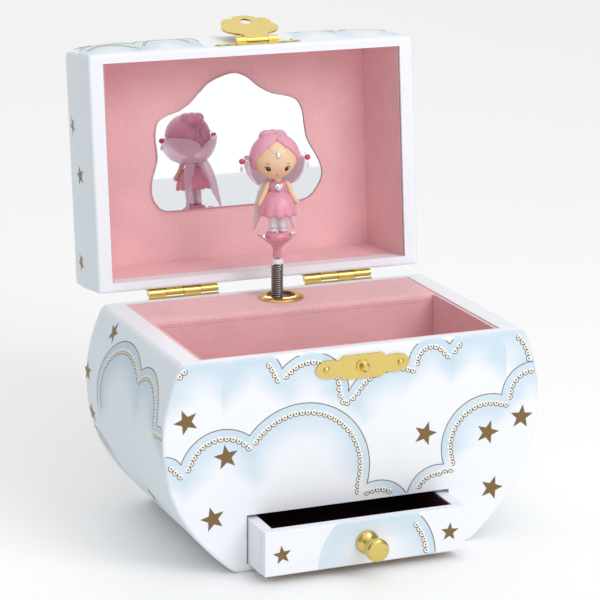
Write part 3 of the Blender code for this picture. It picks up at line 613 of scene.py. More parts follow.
def on_drawer(x, z, lift):
    return (DRAWER_X + x, DRAWER_FRONT - lift, z)


def on_lid_side(side):
    return lambda v, w, lift: shut(side * (smooth_marks(LID_SIDE, w) + lift), v, w)


def on_lid_front(u, w, lift):
    return shut(u, LID_DEPTH + lid_push(u, w) + lift, w)


def on_lid_top(u, v, lift):
    return shut(u, v, dome(u) + lift)


def in_back(x, z):
    return 0.8 < z < HEIGHT - 1.2 and abs(x) < half_width(z) - 0.8


def in_front(x, z):
    """On the front panel, and clear of the drawer's slot."""
    return in_back(x, z) and not (-48.2 < x < 42.8 and z < 25)


def in_side(y, z):
    return 1.5 < z < HEIGHT - 2 and abs(y) < HALF_DEPTH - 1.2


def in_drawer(x, z):
    return abs(x) < 43.4 and 4.8 < z < 22


def in_lid_side(v, w):
    return 1.8 < w < 31 and 1.4 < v < LID_DEPTH - 1.4


def in_lid_front(u, w):
    return 1.8 < w < dome(u) - 2.2 and abs(u) < 73.6


def in_lid_top(u, v):
    return abs(u) < 66 and 2 < v < LID_DEPTH - 2


def print_sheets():
    """Every printed face's outline, lace and stars."""
    ink = Ink(on_front, in_front)
    ink.cloud(CLOUD_A, 95, 29)
    ink.cloud(CLOUD_B, 168, 84)
    ink.cloud(CLOUD_C, 49, 125)
    ink.cloud(CLOUD_E, 73, 2, line=False)
    ink.cloud(CLOUD_F, 143, 98, line=False)
    stars = [(-73.1, 66.5, 21), (-56.3, 50, 8), (-62.1, 24.6, 14), (30.9, 49.6, -18),
             (59.4, 46.9, -18), (75, 51.9, -6), (61.9, 22.3, -18)]
    ink.stars(5.4, stars)
    ink.build("front_print", "case")

    ink = Ink(flipped(on_front, 1), in_back)
    ink.cloud(turned(CLOUD_A), 151, 85)
    ink.cloud(turned(CLOUD_B), 96, 12)
    ink.stars(5.1, [(-x * 0.95, z + 3, -turn) for x, z, turn in stars])
    ink.build("back_print", "case")

    for side, mapper, sign in (("left", on_left, 1), ("right", flipped(on_left, 0), -1)):
        ink = Ink(mapper, in_side)
        if side == "left":
            ink.cloud(SIDE_MAIN, 150, -8)
            ink.cloud(SIDE_LOW, 150, 20)
        else:
            ink.cloud(turned(SIDE_MAIN), 188, 30)
            ink.cloud(turned(SIDE_LOW), 160, 30)
        ink.stars(4.6, [(25.8, 83.9, 10), (46.8, 61.8, -5), (44.7, 43.8, 8), (-8, 22, 3), (-30, 12, -12)])
        ink.build(side + "_print", "case")
        ink = Ink(on_lid_side(-sign), in_lid_side)
        ink.stars(4.4, [(70.3, 24.7, 10), (49.6, 15.9, -5), (11.4, 20.7, 8)])
        ink.build("lid_" + side + "_print", "lid")

    ink = Ink(on_lid_front, in_lid_front)
    ink.cloud(LID_CLOUD[:2], 150, 10)
    ink.cloud(LID_CLOUD[2:], 170, 40)
    ink.stars(4.2, [(-8, 30.5, 5), (22, 10, -8), (-68, 28, 10)])
    ink.build("lid_front_print", "lid")

    ink = Ink(on_lid_top, in_lid_top)
    ink.cloud(TOP_CLOUD, 175, 20)
    ink.stars(5, [(-50, 84, 8), (-14, 90, -6), (24, 78, 12), (-40, 28, 4), (10, 20, -9), (52, 26, 15),
                  (58, 90, 0)])
    ink.build("lid_top_print", "lid")

    ink = Ink(on_drawer, in_drawer)
    ink.cloud(DRAWER_CLOUD, 42, -4)
    ink.stars(4.1, [(-36.8, 12.7, 6), (36.8, 12.7, -4)])
    ink.build("drawer_print", "drawer")


# ---- case and lid

def case_shell():
    """Panels and bulged sides as one papered shell, with the drawer's slot and the tray cut out."""
    outline = case_outline()
    rings = []
    for less, depth in edge_steps(EDGE):
        rings.append([(x, -HALF_DEPTH + depth, z) for x, z in inset(outline, less)])
    rings += [[(x, -y, z) for x, y, z in ring] for ring in reversed(rings)]
    shell = finish_mesh("case_shell", loft(rings), "paper_plain")
    inner = [(66.1, 95), (66.1, 78)] + [(half_width(z) - 4.5, z) for z in (66, 59, 48, 34, 21, 9)]
    inner += [(half_width(0) - 4.5, -2)]
    inner += [(-x, z) for x, z in reversed(inner)]
    cut(shell, loft([[(x, y, z) for x, z in inner] for y in (-45.8, 45.8)]))
    cut(shell, box_data((-47.6, -60, 3.7), (42.2, -40, 24.3)))
    rules = [
        ("front", lambda n, c: n.y < -0.6 and c.y < -47, lambda p: (p.x, p.z)),
        ("back", lambda n, c: n.y > 0.6 and c.y > 47, lambda p: (p.x, p.z)),
        ("left", lambda n, c: n.x < -0.4 and c.x < 2.5 - half_width(c.z), lambda p: (p.y, p.z)),
        ("right", lambda n, c: n.x > 0.4 and c.x > half_width(c.z) - 2.5, lambda p: (p.y, p.z)),
    ]
    sheet_faces(shell, rules)
    crisp(shell)
    attach(shell, "case",
           ("front_panel", "back_panel", "side_board_left", "side_board_right"))


def lid_shell():
    """The lid's padded, domed outside as one papered shell, swung open about its pin."""
    outline = lid_outline()
    rings = [[shut(u, depth, w) for u, w in inset(outline, less)] for less, depth in edge_steps(EDGE)]
    face = []
    for less, depth in reversed(edge_steps(EDGE)):
        ring = inset(outline, less)
        share = 1 - depth / EDGE
        face.append([shut(u, LID_DEPTH - depth + lid_push(u, w) * (1 - 0.5 * share), w) for u, w in ring])
    edge = inset(outline, EDGE)
    for step in range(1, 15):
        share = step / 15
        ring = [(u + (LID_CENTRE[0] - u) * share, w + (LID_CENTRE[1] - w) * share) for u, w in edge]
        face.append([shut(u, LID_DEPTH + lid_push(u, w), w) for u, w in ring])
    shell = finish_mesh("lid_shell", loft(rings + face), "paper_plain")
    cut(shell, box_data(shut(-68.5, 97.8, -4), shut(68.5, 4.2, 35.2)))
    rules = [
        ("lid_front", lambda n, c: n.y < -0.6 and c.y < -49, lambda p: (p.x - LID_X, p.z - LID_LOW)),
        ("plain", lambda n, c: n.y > 0.6 and c.y > 47, lambda p: (p.x - LID_X, p.z - LID_LOW)),
        ("lid_side", lambda n, c: abs(n.x) > 0.5 and abs(c.x - LID_X) > 70,
         lambda p: (LID_BACK - p.y, p.z - LID_LOW)),
        ("lid_top", lambda n, c: n.z > 0.5 and c.z > LID_LOW + 30, lambda p: (p.x - LID_X, LID_BACK - p.y)),
    ]
    sheet_faces(shell, rules)
    shell.data.transform(Matrix.Scale(MM, 4) @ LID_SWING @ Matrix.Scale(1 / MM, 4))
    crisp(shell)
    attach(shell, "lid", ("lid_front", "lid_back", "lid_left", "lid_right", "lid_top"))


MIRROR = [(-0.3, 89), (-10, 86), (-15, 82), (-20, 77), (-25, 74), (-31, 72),
          (-35.6, 69), (-37, 63), (-36.5, 53), (-39.4, 43), (-39, 35.5), (-35, 30.4),
          (-27.5, 29.5), (-14, 29.6), (0, 29.7), (14, 29.7), (30, 29.8), (36, 32),
          (40.6, 38), (41.5, 43), (39.4, 49), (35, 57), (33.8, 63), (33, 70),
          (30.6, 75), (26, 77.3), (18.8, 79), (12.5, 82.3), (6.3, 87.3)]


def curve_through(points, steps=8):
    """A smooth closed line through points."""
    made = []
    count = len(points)
    for i in range(count):
        p0, p1, p2, p3 = (Vector(points[(i + k) % count]) for k in (-1, 0, 1, 2))
        for s in range(steps):
            t = s / steps
            made.append(tuple(0.5 * (2 * p1 + (p2 - p0) * t + (2 * p0 - 5 * p1 + 4 * p2 - p3) * t * t
                                     + (3 * p1 - p0 - 3 * p2 + p3) * t ** 3)))
    return made


def mirror():
    outline = [(u + 1.3, v - 0.9) for u, v in curve_through(MIRROR)]
    rings = []
    for less, w in ((0, 33.42), (0, 32.5), (0.12, 32.3), (0.3, 32.22)):
        rings.append([shut(u, v, w) for u, v in inset(outline, less)])
    finish_mesh("mirror_glass", loft(rings), "mirror", "lid", ("mirror",), 20)
    # A dark sheet behind the glass, shifted right and down so a thin dark line shows along the mirror's right
    # edge: a painted shadow line.
    rings = [[shut(u + 0.5, v - 0.12, w) for u, v in outline] for w in (33.42, 33)]
    finish_mesh("mirror_shadow_line", loft(rings), "mirror_shadow_line", "lid", angle=20)


# ---- hardware

def lathe(name, profile, centre, along, look, body, slot, count=64):
    """A turned piece about a line through centre, along Y or Z; profile is (radius, place)."""
    rings = []
    for radius, place in profile:
        ring = around(count, lambda c, s: (centre[0] + radius * c, centre[1] + radius * s))
        rings.append([(a, place, b) if along == "Y" else (a, b, place) for a, b in ring])
    finish_mesh(name, loft(rings, profile[0] != profile[-1]), look, body, (slot,))


def soften(item, look, width, segments):
    """A finished material and eased edges on a CAD node's object."""
    for number in range(len(item.material_slots)):
        item.material_slots[number].material = LOOKS[look]
    if not item.material_slots:
        item.data.materials.append(LOOKS[look])
    if width > 0:
        bevel = item.modifiers.new("eased", "BEVEL")
        bevel.width = width * MM
        bevel.segments = segments
        bevel.limit_method = "ANGLE"
        bevel.angle_limit = radians(38)
        bevel.harden_normals = True
    item.data.shade_smooth()


def finish_nodes():
    """Every CAD node that keeps its shape: its look, the width of its eased edges and their segments."""
    rows = [
        ("brass", 0.14, 2, "strike_plate strike_post strike_nail_left strike_nail_right hasp_leaf hasp_flap"),
        ("brass", 0.14, 2, "hinge_case_leaf_left hinge_case_leaf_right hinge_lid_leaf_left "
         "hinge_lid_leaf_right"),
        ("brass", 0.08, 2, "spring_barrel great_wheel winding_key"),
        ("brass", 0, 2, "cylinder governor"),
        ("steel", 0.12, 2, "movement_frame comb"),
        ("steel", 0.1, 2, "comb_screw_1 comb_screw_2 frame_screw_1 frame_screw_2 frame_screw_3"),
        ("pink_flock", 0.35, 3, "tray_floor_lining tray_wall_lining partition platform lid_panel"),
        ("maroon_flock", 0.2, 2, "drawer_lining"),
        ("board", 0.2, 2, "base_board drawer_deck drawer_floor"),
        ("paper_plain", 0.5, 3, "drawer_left drawer_right drawer_back"),
    ]
    for look, width, segments, nodes in rows:
        for node in nodes.split():
            soften(NODES[node], look, width, segments)


def hardware():
    knob = [(0, 12.15), (1.6, 12.15), (3.2, 12.1), (4.1, 11.95), (4.6, 11.55), (4.85, 10.9), (4.9, 10.2),
            (4.85, 9.5), (4.55, 8.8), (3.9, 8.3), (3, 7.8), (2.5, 7.1), (2.3, 6), (2.2, 4.6), (2.35, 3.6),
            (3, 2.8), (3.9, 2.3), (4.6, 1.7), (4.95, 1), (5, 0.3), (4.9, 0.08), (1.3, 0.06), (1.3, -3.9)]
    knob = [(radius, DRAWER_FRONT - out) for radius, out in knob]
    lathe("knob_turned", knob, (DRAWER_X, 13.4), "Y", "brass", "drawer", "drawer_knob")
    ring = [(6.1, 89.8), (9.95, 89.8), (10, 90), (9.7, 90.35), (9, 90.8), (8, 91.1), (7, 91.3),
            (6.4, 91.25), (6.1, 90.9), (6.1, 89.8)]
    lathe("ring_pressed", ring, (0.6, 34), "Z", "brass", "case", "ring")


def lid_lining():
    """The lining of the lid's walls: set back from the rim, thin there and leaning in toward the panel."""
    rings = []
    steps = ((1.2, 68.15, 48), (0.8, 67.75, 47.6), (33.4, 65.1, 45), (33.4, 68.15, 48))
    for w, across, along in steps:
        near, far = LID_DEPTH / 2 - along, LID_DEPTH / 2 + along
        ring = [(-across, near), (across, near), (across, far), (-across, far)]
        rings.append([shut(u, v, w) for u, v in ring])
    finish_mesh("lid_lining", loft(rings + rings[:1], False), "pink_flock", "lid",
                ("lid_wall_lining",), 20)


def drawer_front():
    x0, x1 = DRAWER_X - 44.25, DRAWER_X + 44.25
    rings = []
    outline = [(x1, 4), (x1, 22.8), (x0, 22.8), (x0, 4)]
    rounded = []
    for i, corner in enumerate(outline):
        rounded += round_corner(corner, outline[i - 1], outline[(i + 1) % 4], 0.9, 5)
    for less, depth in edge_steps(0.7, 4):
        rings.append([(x, DRAWER_FRONT + depth, z) for x, z in inset(rounded, less)])
    for less, depth in reversed(edge_steps(0.3, 2)):
        rings.append([(x, DRAWER_FRONT + 4.6 - depth, z) for x, z in inset(rounded, less)])
    front = finish_mesh("drawer_face", loft(rings), "paper_drawer")
    sheet_faces(front, [("drawer", lambda n, c: n.y < -0.5, lambda p: (p.x - DRAWER_X, p.z))])
    crisp(front)
    attach(front, "drawer", ("drawer_front",))


# ---- dancer

def tube(points, radii, sides=14):
    """A round limb through points, each with its own radius."""
    rings = []
    side = Vector((0.31, 0.92, 0.24))
    for i, point in enumerate(points):
        along = (Vector(points[min(i + 1, len(points) - 1)]) - Vector(points[max(i - 1, 0)])).normalized()
        side = (side - along * side.dot(along)).normalized()
        other = along.cross(side)
        rings.append(around(sides, lambda c, s: Vector(point) + (side * c + other * s) * radii[i]))
    return loft(rings)


def ball(centre, size, rows=16, count=24):
    """A closed rounded body."""
    rings = []
    for i in range(1, rows):
        lat = pi * i / rows - pi / 2
        high, wide = centre[2] + size[2] * sin(lat), cos(lat)
        rings.append(around(count, lambda c, s: (centre[0] + size[0] * wide * c,
                                                 centre[1] + size[1] * wide * s, high)))
    return loft(rings)


def oval_rings(levels, count=60, pleats=0, phase=0):
    """Rings about the doll's axis; a level is (z, rx, ry[, pleat depth[, y]]), and a pleat hangs lower."""
    rings = []
    for level in levels:
        z, rx, ry, depth, y = (*level, 0, 0)[:5]
        ring = []
        for k in range(count):
            angle = 2 * pi * k / count
            wave = 1 + depth * abs(sin(pleats * angle / 2 + phase))
            ring.append((rx * wave * cos(angle), y + ry * wave * sin(angle), z - 8 * (wave - 1)))
        rings.append(ring)
    return rings


def head_point(lon, lat, lift=0):
    """A point on the head: lon 0 looks forward, + to the viewer's right; degrees."""
    a, b = radians(lon), radians(lat)
    low = max(-sin(b), 0)
    narrow = 1 - 0.10 * low * low
    return Vector((HEAD.x + (HEAD_SIZE[0] * narrow + lift) * cos(b) * sin(a),
                   HEAD.y - (HEAD_SIZE[1] * narrow + lift) * cos(b) * cos(a),
                   HEAD.z + (HEAD_SIZE[2] + lift) * sin(b)))


def doll_piece(name, parts, look, replaces=(), angle=50):
    finish_mesh(name, join(parts), look, "dancer", replaces, angle)


def face_patch(lon, lat, wide, tall, lift, count=20):
    """A small painted oval that follows the head."""
    rings = []
    for share, height in ((1, -0.1), (1, lift * 0.5), (0.8, lift), (0.4, lift * 1.1), (0.05, lift * 1.15)):
        rings.append(around(count, lambda c, s: head_point(lon + wide * share * c, lat + tall * share * s,
                                                           height)))
    return loft(rings)


def face_line(marks, radius):
    """A thin painted line over the head."""
    points = [head_point(lon, lat, 0.02) for lon, lat in marks]
    radii = [radius * (0.35 + 0.65 * sin(pi * (i + 0.5) / len(points))) for i in range(len(points))]
    return tube(points, radii, 8)


def dancer_head():
    rings = []
    for i in range(1, 40):
        lat = -90 + 180 * i / 40
        rings.append([head_point(7.5 * k, lat) for k in range(48)])
    neck = tube([(0, 0.3, 139.6), (0, 0.2, 141.4), (0, 0, 143.6)], [2.2, 1.75, 2], 20)
    nose = ball(head_point(0, -31, 0), (0.42, 0.42, 0.36), 10, 14)
    doll_piece("head_moulded", [loft(rings), neck, nose], "skin", ("dancer_head",))
    dark = []
    for side in (-1, 1):
        lon = side * 27
        dark.append(face_patch(lon, -22, 7.2, 7.6, 0.10))
        brow = [(lon + side * 2, -14.5), (lon + side * 7, -15.5), (lon + side * 10.5, -18.5)]
        dark.append(face_line(brow, 0.16))
        dark.append(face_line([(lon - side * 5, -8), (lon, -6.2), (lon + side * 5.5, -7.6)], 0.13))
    doll_piece("eyes_painted", dark, "eye")
    # The white dots on the eyes are painted highlights; the forehead gem and its chain are the doll's own.
    eye_glints_and_gem = [face_patch(side * 27 + 2, -18.6, 1.7, 1.7, 0.2, 12) for side in (-1, 1)]
    eye_glints_and_gem.append(face_patch(0, 17, 6.6, 9, 0.5, 16))
    chain = [head_point(lon, 36 - 20 * exp(-(lon / 18) ** 2), 0.12) for lon in range(-54, 55, 6)]
    eye_glints_and_gem.append(tube(chain, [0.1] * len(chain), 8))
    doll_piece("forehead_gem_and_eye_glints", eye_glints_and_gem, "silver")
    doll_piece("lips_painted", [face_patch(0, -41.5, 4, 2.2, 0.09, 16)], "lip")


HAIRLINE = [(0, 62), (10, 53), (28, 36), (50, 16), (66, -4), (80, -27), (100, -36), (180, -42)]


def dancer_hair():
    """A smooth cap with a centre parting and two rolls gathered behind the crown."""
    columns = 120
    rows = 26
    rings = []
    for j in range(-2, rows):
        share = max(j, 0) / (rows - 1)
        ring = []
        for k in range(columns):
            lon = -180 + 360 * k / columns
            edge = smooth_marks(HAIRLINE, abs(lon))
            lat = edge + (89 - edge) * share
            lift = 1.15 * sqrt(1 - (1 - min((share + 0.02) / 0.10, 1)) ** 2)
            if j < 0:
                lift = -0.2 if j == -1 else -3
            elif abs(lon) < 90:
                point = head_point(lon, lat)
                lift -= 0.55 * exp(-(point.x / 0.55) ** 2)
            strand = 0.05 * sin(abs(lon) * 0.55 + share * 5) if j > 1 else 0
            ring.append(head_point(lon, lat, lift + strand))
        rings.append(ring)
    parts = [loft(rings), ball((HEAD.x, 5.2, 159.4), (3.4, 3.8, 3.3))]
    for side in (-1, 1):
        parts.append(ball((HEAD.x + side * 2.7, 4.6, 159.5), (3.5, 3.6, 3.1)))
        parts.append(ball((HEAD.x + side * 2, 6.8, 158.2), (2.8, 2.6, 2.8)))
    doll_piece("hair_moulded", parts, "hair", ("dancer_hair",), 60)
    bow = []
    for side in (-1, 1):
        marks = [(0.2, 9, 155.6), (1.4, 9.9, 156.6), (2.8, 10, 157), (3.7, 9.8, 156.2), (3.2, 9.9, 155),
                 (1.6, 10, 154.9), (0.2, 9.2, 155.4)]
        bow.append(tube([(HEAD.x + side * x, y, z) for x, y, z in marks], [0.28] * 7, 10))
        marks = [(0.3, 9.4, 155.4), (1, 10.4, 153.4), (1.6, 10.5, 151.2), (2.1, 10.4, 149.4)]
        bow.append(tube([(HEAD.x + side * x, y, z) for x, y, z in marks], [0.25, 0.3, 0.3, 0.15], 10))
    bow.append(ball((HEAD.x, 9.3, 155.5), (0.7, 0.6, 0.6), 10, 14))
    doll_piece("hair_ribbon", bow, "ribbon")


def dancer_body():
    bodice = [(136.4, 2.9, 2.5), (137.4, 3, 2.55), (139, 3.7, 2.9), (140.4, 3.95, 2.95),
              (141.2, 3.6, 2.6, 0, 0.1), (141.5, 2.6, 2, 0, 0.2)]
    skirt = [(137.6, 2.9, 2.5), (136.9, 3.9, 3.4, 0.008), (135.9, 5.2, 4.7, 0.02), (134.2, 6.4, 6, 0.04),
             (132.2, 7.1, 6.8, 0.06), (130.2, 7.6, 7.3, 0.08), (128.6, 7.8, 7.5, 0.10),
             (127.6, 7.6, 7.3, 0.11), (127.3, 7.1, 6.8, 0.10), (127.8, 6.6, 6.2, 0.08),
             (130, 5.6, 5.2, 0.03), (133, 3.4, 3)]
    parts = [loft(oval_rings(bodice)), loft(oval_rings(skirt, 160, 10, 0.3))]
    doll_piece("dress_moulded", parts, "dress", ("dancer_dress",), 70)
    parts = []
    for side in (-1, 1):
        leg = [(side * 1.95, 0, 133), (side * 1.95, 0, 127), (side * 1.95, -0.1, 123.4),
               (side * 1.95, -0.3, 121.2)]
        parts.append(tube(leg, [1.75, 1.8, 1.75, 1.85], 20))
        parts.append(ball((side * 2, -0.9, 120.4), (1.95, 2.8, 1.35), 12, 20))
    doll_piece("tights_glitter", parts, "glitter", ("dancer_legs",))
    for side, word in ((-1, "left"), (1, "right")):
        arm = [(side * 3.3, 0.2, 141), (side * 4.3, -0.1, 140.2), (side * 5, -0.5, 138.6),
               (side * 5.7, -1, 136.6), (side * 6.6, -1.4, 134.9), (side * 7.5, -1.9, 133.4),
               (side * 8.1, -2.2, 132.3), (side * 8.4, -2.3, 131.5)]
        parts = [tube(arm, [0.7, 1.15, 1.2, 1.1, 1, 1, 1.15, 0.5], 16),
                 ball((side * 8, -2.2, 132.4), (1, 0.75, 1.35), 10, 16)]
        doll_piece("arm_" + word, parts, "skin", ("dancer_arm_" + word,))
    heart = curve_through([(0, 140.7), (0.9, 141.2), (1.8, 140.6), (1.6, 139), (0, 136.7), (-1.6, 139),
                           (-1.8, 140.6), (-0.9, 141.2)], 5)
    rings = []
    for less, lift in ((0, -2.4), (0, -3.2), (0.25, -3.55), (0.7, -3.75)):
        rings.append([(x, lift, z) for x, z in inset(heart, less)])
    doll_piece("heart_badge", [loft(rings)], "silver", ("dancer_heart",))


def sheet_between(rows, thickness):
    """A closed thin sheet through rows of points, thickened along its own normal."""
    count = len(rows[0])
    flat = [Vector(p) for row in rows for p in row]
    normals = []
    for i, row in enumerate(rows):
        for k, _ in enumerate(row):
            across = Vector(rows[i][min(k + 1, count - 1)]) - Vector(rows[i][max(k - 1, 0)])
            down = Vector(rows[min(i + 1, len(rows) - 1)][k]) - Vector(rows[max(i - 1, 0)][k])
            normals.append(across.cross(down).normalized() * thickness / 2)
    total = len(flat)
    verts = [p + n for p, n in zip(flat, normals)] + [p - n for p, n in zip(flat, normals)]
    faces = []
    for i in range(len(rows) - 1):
        for k in range(count - 1):
            a = i * count + k
            faces.append((a, a + 1, a + count + 1, a + count))
            faces.append((total + a + count, total + a + count + 1, total + a + 1, total + a))
    rim = list(range(count)) + [i * count + count - 1 for i in range(1, len(rows))]
    rim += [total - 1 - k for k in range(1, count)] + [i * count for i in range(len(rows) - 2, 0, -1)]
    for i, a in enumerate(rim):
        b = rim[(i + 1) % len(rim)]
        faces.append((b, a, total + a, total + b))
    return verts, faces


def dancer_wings():
    """A split collar cupped behind the head, and two long tapered lappets."""
    parts = []
    for side in (-1, 1):
        rows = []
        for i in range(13):
            down = i / 12
            row = []
            for k in range(17):
                share = k / 16
                lon = radians(68 + 112.4 * share)
                high = 2 - 24 * share ** 5
                low = -61 + 30 * max(0.25 - share, 0) ** 0.5
                lat = radians(high + (low - high) * down)
                reach = 13.1
                row.append((HEAD.x + side * reach * cos(lat) * sin(lon),
                            0.6 - reach * cos(lat) * cos(lon),
                            HEAD.z - 0.8 + reach * sin(lat)))
            rows.append(row)
        parts.append(sheet_between(rows, 0.5))
        rows = []
        for i in range(17):
            t = i / 16
            centre = Vector((side * (2 + 6.8 * t ** 0.6), 4.2 + 4.6 * t, 140.8 - 22.6 * t))
            width = 0.25 + 5 * sin(pi * min(t * 0.72 + 0.28, 1)) ** 0.9 * (1 - 0.25 * t)
            row = []
            for k in range(7):
                s = k / 6 - 0.5
                row.append((centre.x + side * s * width, centre.y - 1.2 * (1 - 4 * s * s) * 0.4,
                            centre.z + s * width * 0.35))
            rows.append(row)
        parts.append(sheet_between(rows, 0.5))
    doll_piece("wings_moulded", parts, "wing", ("dancer_wings",), 60)
    beads, hoops, drops = [], [], []
    for side in (-1, 1):
        ear = Vector((HEAD.x + side * 10.9, 0, 151.2 + 0.5 * side))
        hoop = []
        for i in range(17):
            angle = 2 * pi * i / 16
            hoop.append(ear + Vector((side * 1.2 + 1.1 * cos(angle), 0, 0.8 + 1.3 * sin(angle))))
        hoops.append(tube(hoop, [0.14] * 17, 8))
        beads.append(ball(ear + Vector((side * 3.3, 0, -0.4)), (1.25, 1.25, 1.25), 16, 24))
        drop = ear + Vector((side * 3.4, 0, -3.8))
        drops.append(ball(drop, (0.75, 0.75, 1.2), 12, 18))
        hoops.append(tube([drop + Vector((0, 0, 1)), drop + Vector((0, 0, 2.2))], [0.1, 0.1], 8))
    doll_piece("ear_beads", beads, "bead")
    doll_piece("ear_hoops", hoops, "silver")
    doll_piece("ear_drops", drops, "wing")


def dancer_base():
    """The stem, its pointed dish and the petal cup round the feet."""
    levels = [(108, 1.9), (108.3, 2), (111, 1.85), (112.2, 2), (113.4, 2.9), (114.6, 4.3), (115.8, 5.9),
              (116.7, 7.1), (117.2, 7.3), (117.3, 6.8), (117, 5.8), (117.1, 5.2)]
    rings = []
    for z, radius in levels:
        ring = []
        for k in range(80):
            angle = 2 * pi * k / 80
            tip = cos(2.5 * (angle - TIP_TURN)) ** 6
            reach = radius + (1.9 * tip - 0.5) * max(radius - 4.5, 0) / 2.8
            rise = 0.3 * tip * max(radius - 5, 0)
            ring.append((reach * cos(angle), reach * sin(angle), z + rise))
        rings.append(ring)
    petals = [(116.2, 4.7, 4.6, 0.03), (117.2, 5.1, 5, 0.05), (118.2, 5, 4.9, 0.06),
              (119.2, 4.5, 4.4, 0.06), (119.7, 3.9, 3.8, 0.04), (119.4, 3.2, 3.1)]
    parts = [loft(rings), loft(oval_rings(petals, 80, 10, 0.5))]
    doll_piece("stand_moulded", parts, "dress", ("dancer_stand",), 60)
    # White caps on two of the dish's five tips only: a painted highlight where those tips catch the light.
    tips = []
    for k in (0, 2):
        angle = TIP_TURN + 2 * pi * k / 5
        path = [Vector((reach * cos(angle), reach * sin(angle), z))
                for reach, z in ((6.4, 117.5), (7.6, 117.9), (8.8, 118.1))]
        tips.append(tube(path, [1, 0.75, 0.15], 12))
    doll_piece("stand_tip_highlights", tips, "collar")
    collar = [(1.2, 105.2), (2.5, 105.2), (2.9, 105.5), (2.95, 106.2), (2.6, 106.7), (1.3, 107.5),
              (1.2, 107.5), (1.2, 105.2)]
    lathe("collar_turned", collar, (AXIS.x, AXIS.y), "Z", "collar", "mast", "spring_collar", 40)


def dancer_spring():
    """A close-wound coil about the dancer's axis, left fixed in the frame."""
    turns, steps = 18, 28
    low, high = 87.4, 104.5
    rings = []
    for i in range(turns * steps + 1):
        angle = 2 * pi * i / steps
        z = low + (high - low) * i / (turns * steps)
        out = Vector((cos(angle), sin(angle), 0))
        rings.append(around(9, lambda c, s: AXIS + out * (2.2 + 0.43 * c) + Vector((0, 0, z + 0.42 * s))))
    coil = finish_mesh("spring_coil", loft(rings), "steel", angle=60)
    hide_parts("dancer_spring")
    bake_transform(coil)


# ---- stage

def camera():
    """The photograph's viewing angle: a long lens, a little above, from the box's right."""
    yaw, pitch, roll = (radians(a) for a in (-22.33, 14.931, 0.329))
    back = Vector((sin(yaw) * cos(pitch), -cos(yaw) * cos(pitch), sin(pitch)))
    right = (-back).cross(Vector((0, 0, 1))).normalized()
    up = right.cross(-back)
    side = right * cos(roll) + up * sin(roll)
    top = up * cos(roll) - right * sin(roll)
    place = Vector((-4.452, 0, 97.354)) * MM + back * 1054.79 * MM
    matrix = Matrix.Identity(4)
    for row in range(3):
        matrix[row] = (side[row], top[row], back[row], place[row])
    data = bpy.data.cameras.new("camera")
    data.sensor_width = 36
    data.lens = 151.316
    data.clip_start = 0.05
    data.clip_end = 20
    item = bpy.data.objects.new("camera", data)
    item.matrix_world = matrix
    bpy.context.scene.collection.objects.link(item)
    bpy.context.scene.camera = item


def area_light(name, place, target, size, power, colour=(1, 1, 1)):
    data = bpy.data.lights.new(name, "AREA")
    data.shape = "SQUARE"
    data.size = size
    data.energy = power
    data.color = colour
    item = bpy.data.objects.new(name, data)
    item.location = place
    item.rotation_euler = (Vector(target) - Vector(place)).to_track_quat("-Z", "Y").to_euler()
    bpy.context.scene.collection.objects.link(item)


def studio():
    world = bpy.data.worlds.new("studio")
    world.use_nodes = True
    tree = world.node_tree
    sky = tree.nodes["Background"]
    place = add_node(tree, "ShaderNodeTexCoord").outputs["Generated"]
    ray = add_node(tree, "ShaderNodeSeparateXYZ", {0: place})
    share = sums(tree, "MULTIPLY_ADD", ray.outputs[0], 0.5, 0.5)
    grey = [(0, 0.22), (0.2, 0.5), (0.36, 1), (0.7, 1), (0.8, 0.45), (1, 0.3)]
    stops = [(place, (value, value, value, 1)) for place, value in grey]
    tree.links.new(ramp(tree, share, stops), sky.inputs["Color"])
    sky.inputs["Strength"].default_value = 1.14
    bpy.context.scene.world = world
    bpy.context.scene.view_settings.view_transform = "Standard"
    area_light("key", (0.55, -1.1, 1), (0, 0, 0.08), 0.7, 6.2)
    data = bpy.data.meshes.new("floor")
    reach = 6
    data.from_pydata([(-reach, -reach, 0), (reach, -reach, 0), (reach, reach, 0), (-reach, reach, 0)],
                     [], [(0, 1, 2, 3)])
    floor = bpy.data.objects.new("floor", data)
    material = surface("floor_white", (0.985, 0.985, 0.985, 1), 0.6, 0.005, 3, 40, 0, 0.0001)
    data.materials.append(material)
    bpy.context.scene.collection.objects.link(floor)


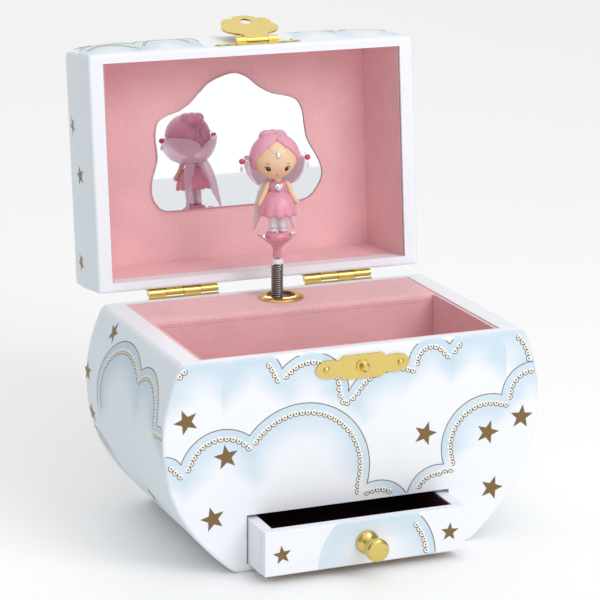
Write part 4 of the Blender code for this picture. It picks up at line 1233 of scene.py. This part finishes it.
def make_looks():
    metal("brass", srgb(218, 194, 116), 0.2)
    metal("steel", srgb(150, 148, 148), 0.28)
    metal("silver", srgb(225, 225, 232), 0.22)
    metal("foil", srgb(132, 110, 76), 0.36)
    surface("mirror", srgb(240, 244, 248), 0.012, 0.003, 20, 300, 0, 0.0001, 0.01, Metallic=1)
    # Near-black for the sheet behind the mirror: a painted shadow line.
    surface("mirror_shadow_line", srgb(52, 46, 50), 0.4, 0.1)
    surface("lace_cream", srgb(243, 243, 235), 0.5, 0.03)
    flock("pink_flock", srgb(238, 189, 193))
    flock("maroon_flock", srgb(62, 18, 40), 0.3)
    surface("board", srgb(196, 168, 130), 0.7, 0.12, 90, 700, 0.3)
    surface("skin", srgb(238, 202, 164), 0.4, 0.02, 60, 900, 0.03, Subsurface_Weight=0.1,
            Subsurface_Scale=0.002, Coat_Weight=0.2)
    surface("dress", srgb(228, 154, 174), 0.35, 0.04, 90, 1200, 0.05, Coat_Weight=0.2)
    surface("hair", srgb(228, 162, 182), 0.38, 0.05, 90, 900, 0.06, Coat_Weight=0.2)
    surface("ribbon", srgb(212, 170, 196), 0.4, 0.05, Coat_Weight=0.2)
    surface("wing", srgb(246, 224, 238), 0.3, 0.05, 80, 900, 0.04, Alpha=0.62, Coat_Weight=0.3)
    surface("glitter", srgb(240, 236, 244), 0.35, 0.12, 500, 3000, 0.9, 0.0003, Metallic=0.3)
    surface("eye", srgb(58, 34, 30), 0.15, 0.1, Coat_Weight=0.6)
    surface("lip", srgb(178, 70, 66), 0.35, 0.05)
    surface("bead", srgb(206, 62, 84), 0.2, 0.04, Coat_Weight=0.5)
    surface("collar", srgb(238, 238, 240), 0.35, 0.03)
    pale, blue = srgb(242, 243, 248), srgb(194, 217, 232)
    for name, clouds in (("plain", []), ("front", [CLOUD_E, CLOUD_F, CLOUD_C, CLOUD_B, CLOUD_A]),
                         ("back", [turned(CLOUD_B), turned(CLOUD_A)]), ("lid_front", [LID_CLOUD]),
                         ("lid_top", [TOP_CLOUD]), ("drawer", [DRAWER_CLOUD])):
        cloud_paper("paper_" + name, clouds, pale, blue)
    # The case's sides and the lid's sides get a darker copy of the front paper: painted shade for faces
    # turned away from the light.
    pale, blue = srgb(228, 236, 242), srgb(186, 208, 224)
    for name, clouds in (("left", [SIDE_MAIN, SIDE_LOW]), ("right", [turned(SIDE_MAIN), turned(SIDE_LOW)]),
                         ("lid_side", [])):
        cloud_paper("paper_" + name, clouds, pale, blue)


camera()
studio()
make_looks()
case_shell()
lid_shell()
mirror()
print_sheets()
lid_lining()
drawer_front()
hardware()
finish_nodes()
dancer_head()
dancer_hair()
dancer_body()
dancer_wings()
dancer_base()
dancer_spring()
